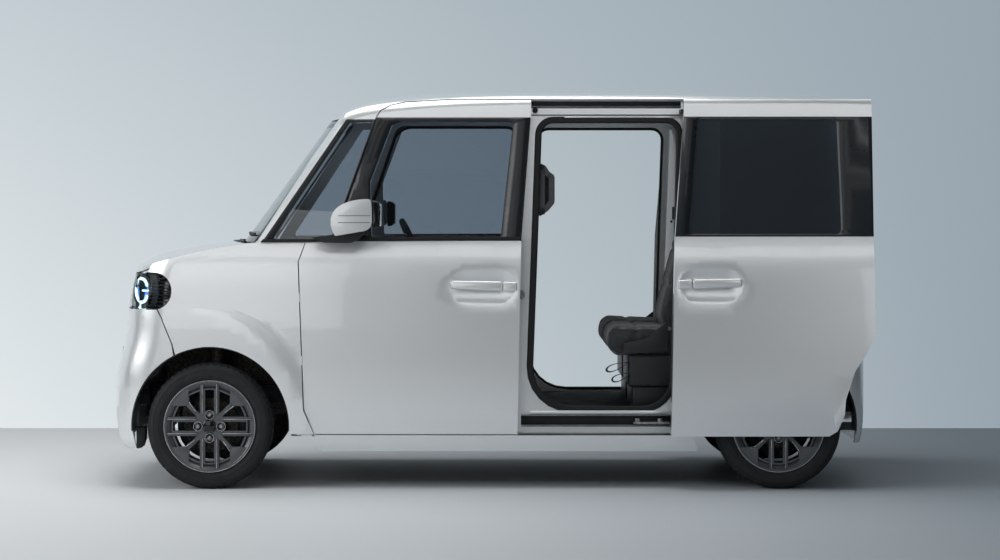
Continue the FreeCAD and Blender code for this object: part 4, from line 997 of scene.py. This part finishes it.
def makeBackdrop():
    # a tall sheet behind the car, seen by the camera and in reflections only from its front; its glow is painted light,
    # paler towards the car's front and near the floor as the studio lamps fall off
    bm = bmesh.new()
    x, y, foot, top = stage["reach"], stage["backDepth"], stage["backFoot"], stage["backTop"]
    bm.faces.new([bm.verts.new(corner) for corner in ((-x, y, foot), (-x, y, top), (x, y, top), (x, y, foot))])
    material = bpy.data.materials.new("studioBackdrop")
    material.use_nodes = True
    tree = material.node_tree
    tree.nodes.clear()
    where = addNode(tree, "ShaderNodeTexCoord")
    split = addNode(tree, "ShaderNodeSeparateXYZ", inputs={"Vector": where.outputs["Object"]})
    along = addNode(tree, "ShaderNodeMapRange", inputs={"Value": split.outputs["X"], "From Min": -2.9, "From Max": 2.9})
    up = addNode(tree, "ShaderNodeMapRange", inputs={"Value": split.outputs["Z"], "From Min": 0.0, "From Max": 2.6})
    mixed = addNode(tree, "ShaderNodeMix", {"data_type": "RGBA"}, {"Factor": up.outputs[0]})
    for index, shades in ((6, "lowPaintedFalloff"), (7, "highPaintedFalloff")):
        band = addNode(tree, "ShaderNodeValToRGB", None, {"Fac": along.outputs[0]}, stage[shades])
        tree.links.new(band.outputs[0], mixed.inputs[index])
    glow = addNode(tree, "ShaderNodeEmission", inputs={"Color": mixed.outputs[2], "Strength": 1.0})
    clear = addNode(tree, "ShaderNodeBsdfTransparent")
    path = addNode(tree, "ShaderNodeLightPath")
    seen = path.outputs["Is Camera Ray"]
    for ray in ("Is Glossy Ray", "Is Transmission Ray"):
        seen = addNode(tree, "ShaderNodeMath", {"operation": "MAXIMUM"}, {0: seen, 1: path.outputs[ray]}).outputs[0]
    back = addNode(tree, "ShaderNodeNewGeometry")
    front = addNode(tree, "ShaderNodeMath", {"operation": "SUBTRACT"}, {0: 1.0, 1: back.outputs["Backfacing"]})
    shown = addNode(tree, "ShaderNodeMath", {"operation": "MULTIPLY"}, {0: seen, 1: front.outputs[0]})
    both = addNode(tree, "ShaderNodeMixShader", inputs={0: shown.outputs[0], 1: clear.outputs[0], 2: glow.outputs[0]})
    addNode(tree, "ShaderNodeOutputMaterial", inputs={"Surface": both.outputs[0]})
    putSheet("studioBackdrop", bm, material)


def makeSoftbox(name, place, aim, size, power):
    light = bpy.data.lights.new(name, "AREA")
    light.shape = "RECTANGLE"
    light.size, light.size_y = size
    light.energy = power
    holder = placed(name, light)
    holder.location = place
    holder.rotation_euler = (Vector(aim) - Vector(place)).to_track_quat("-Z", "Y").to_euler()
    holder.visible_camera = False


def makeWorld():
    world = bpy.data.worlds.new("studioAir")
    world.use_nodes = True
    tree = world.node_tree
    tree.nodes.clear()
    air = addNode(tree, "ShaderNodeBackground", inputs={
        "Color": colour(stage["airShade"]), "Strength": stage["airStrength"]})
    addNode(tree, "ShaderNodeOutputWorld", inputs={"Surface": air.outputs[0]})
    bpy.context.scene.world = world


def makeCamera():
    lens = bpy.data.cameras.new("photoCamera")
    lens.lens = camera["lens"]
    lens.sensor_width = 36.0
    lens.shift_y = camera["shift"]
    lens.clip_end = 100.0
    holder = placed("photoCamera", lens)
    holder.location = camera["place"]
    holder.rotation_euler = (math.radians(90), 0, math.radians(180))
    bpy.context.scene.camera = holder


makeFloor()
makeBackdrop()
makeWorld()
makeSoftbox("ceilingSoftbox", (0.6, 0.4, 5.4), (0, 0, 0.5), (6.0, 3.6), 200)
makeSoftbox("frontSoftbox", (6.9, 3.4, 3.4), (0.9, 0, 0.8), (4.2, 3.4), 215)
makeSoftbox("sideStrip", (0.1, 9.2, 4.95), (0.1, 0, 1.0), (13.5, 1.5), 100)
makeSoftbox("frontCard", (3.0, 9.0, 2.1), (0.9, 0, 0.9), (3.0, 2.6), 34)
makeSoftbox("rearCard", (-4.3, 8.8, 1.6), (-1.4, 0, 0.8), (2.6, 2.4), 27)
makeSoftbox("floorBounce", (0.2, 3.4, 0.06), (0, 0.4, 0.9), (4.6, 0.8), 1)
makeCamera()
bpy.context.scene.view_settings.view_transform = "Standard"
print("stage set")
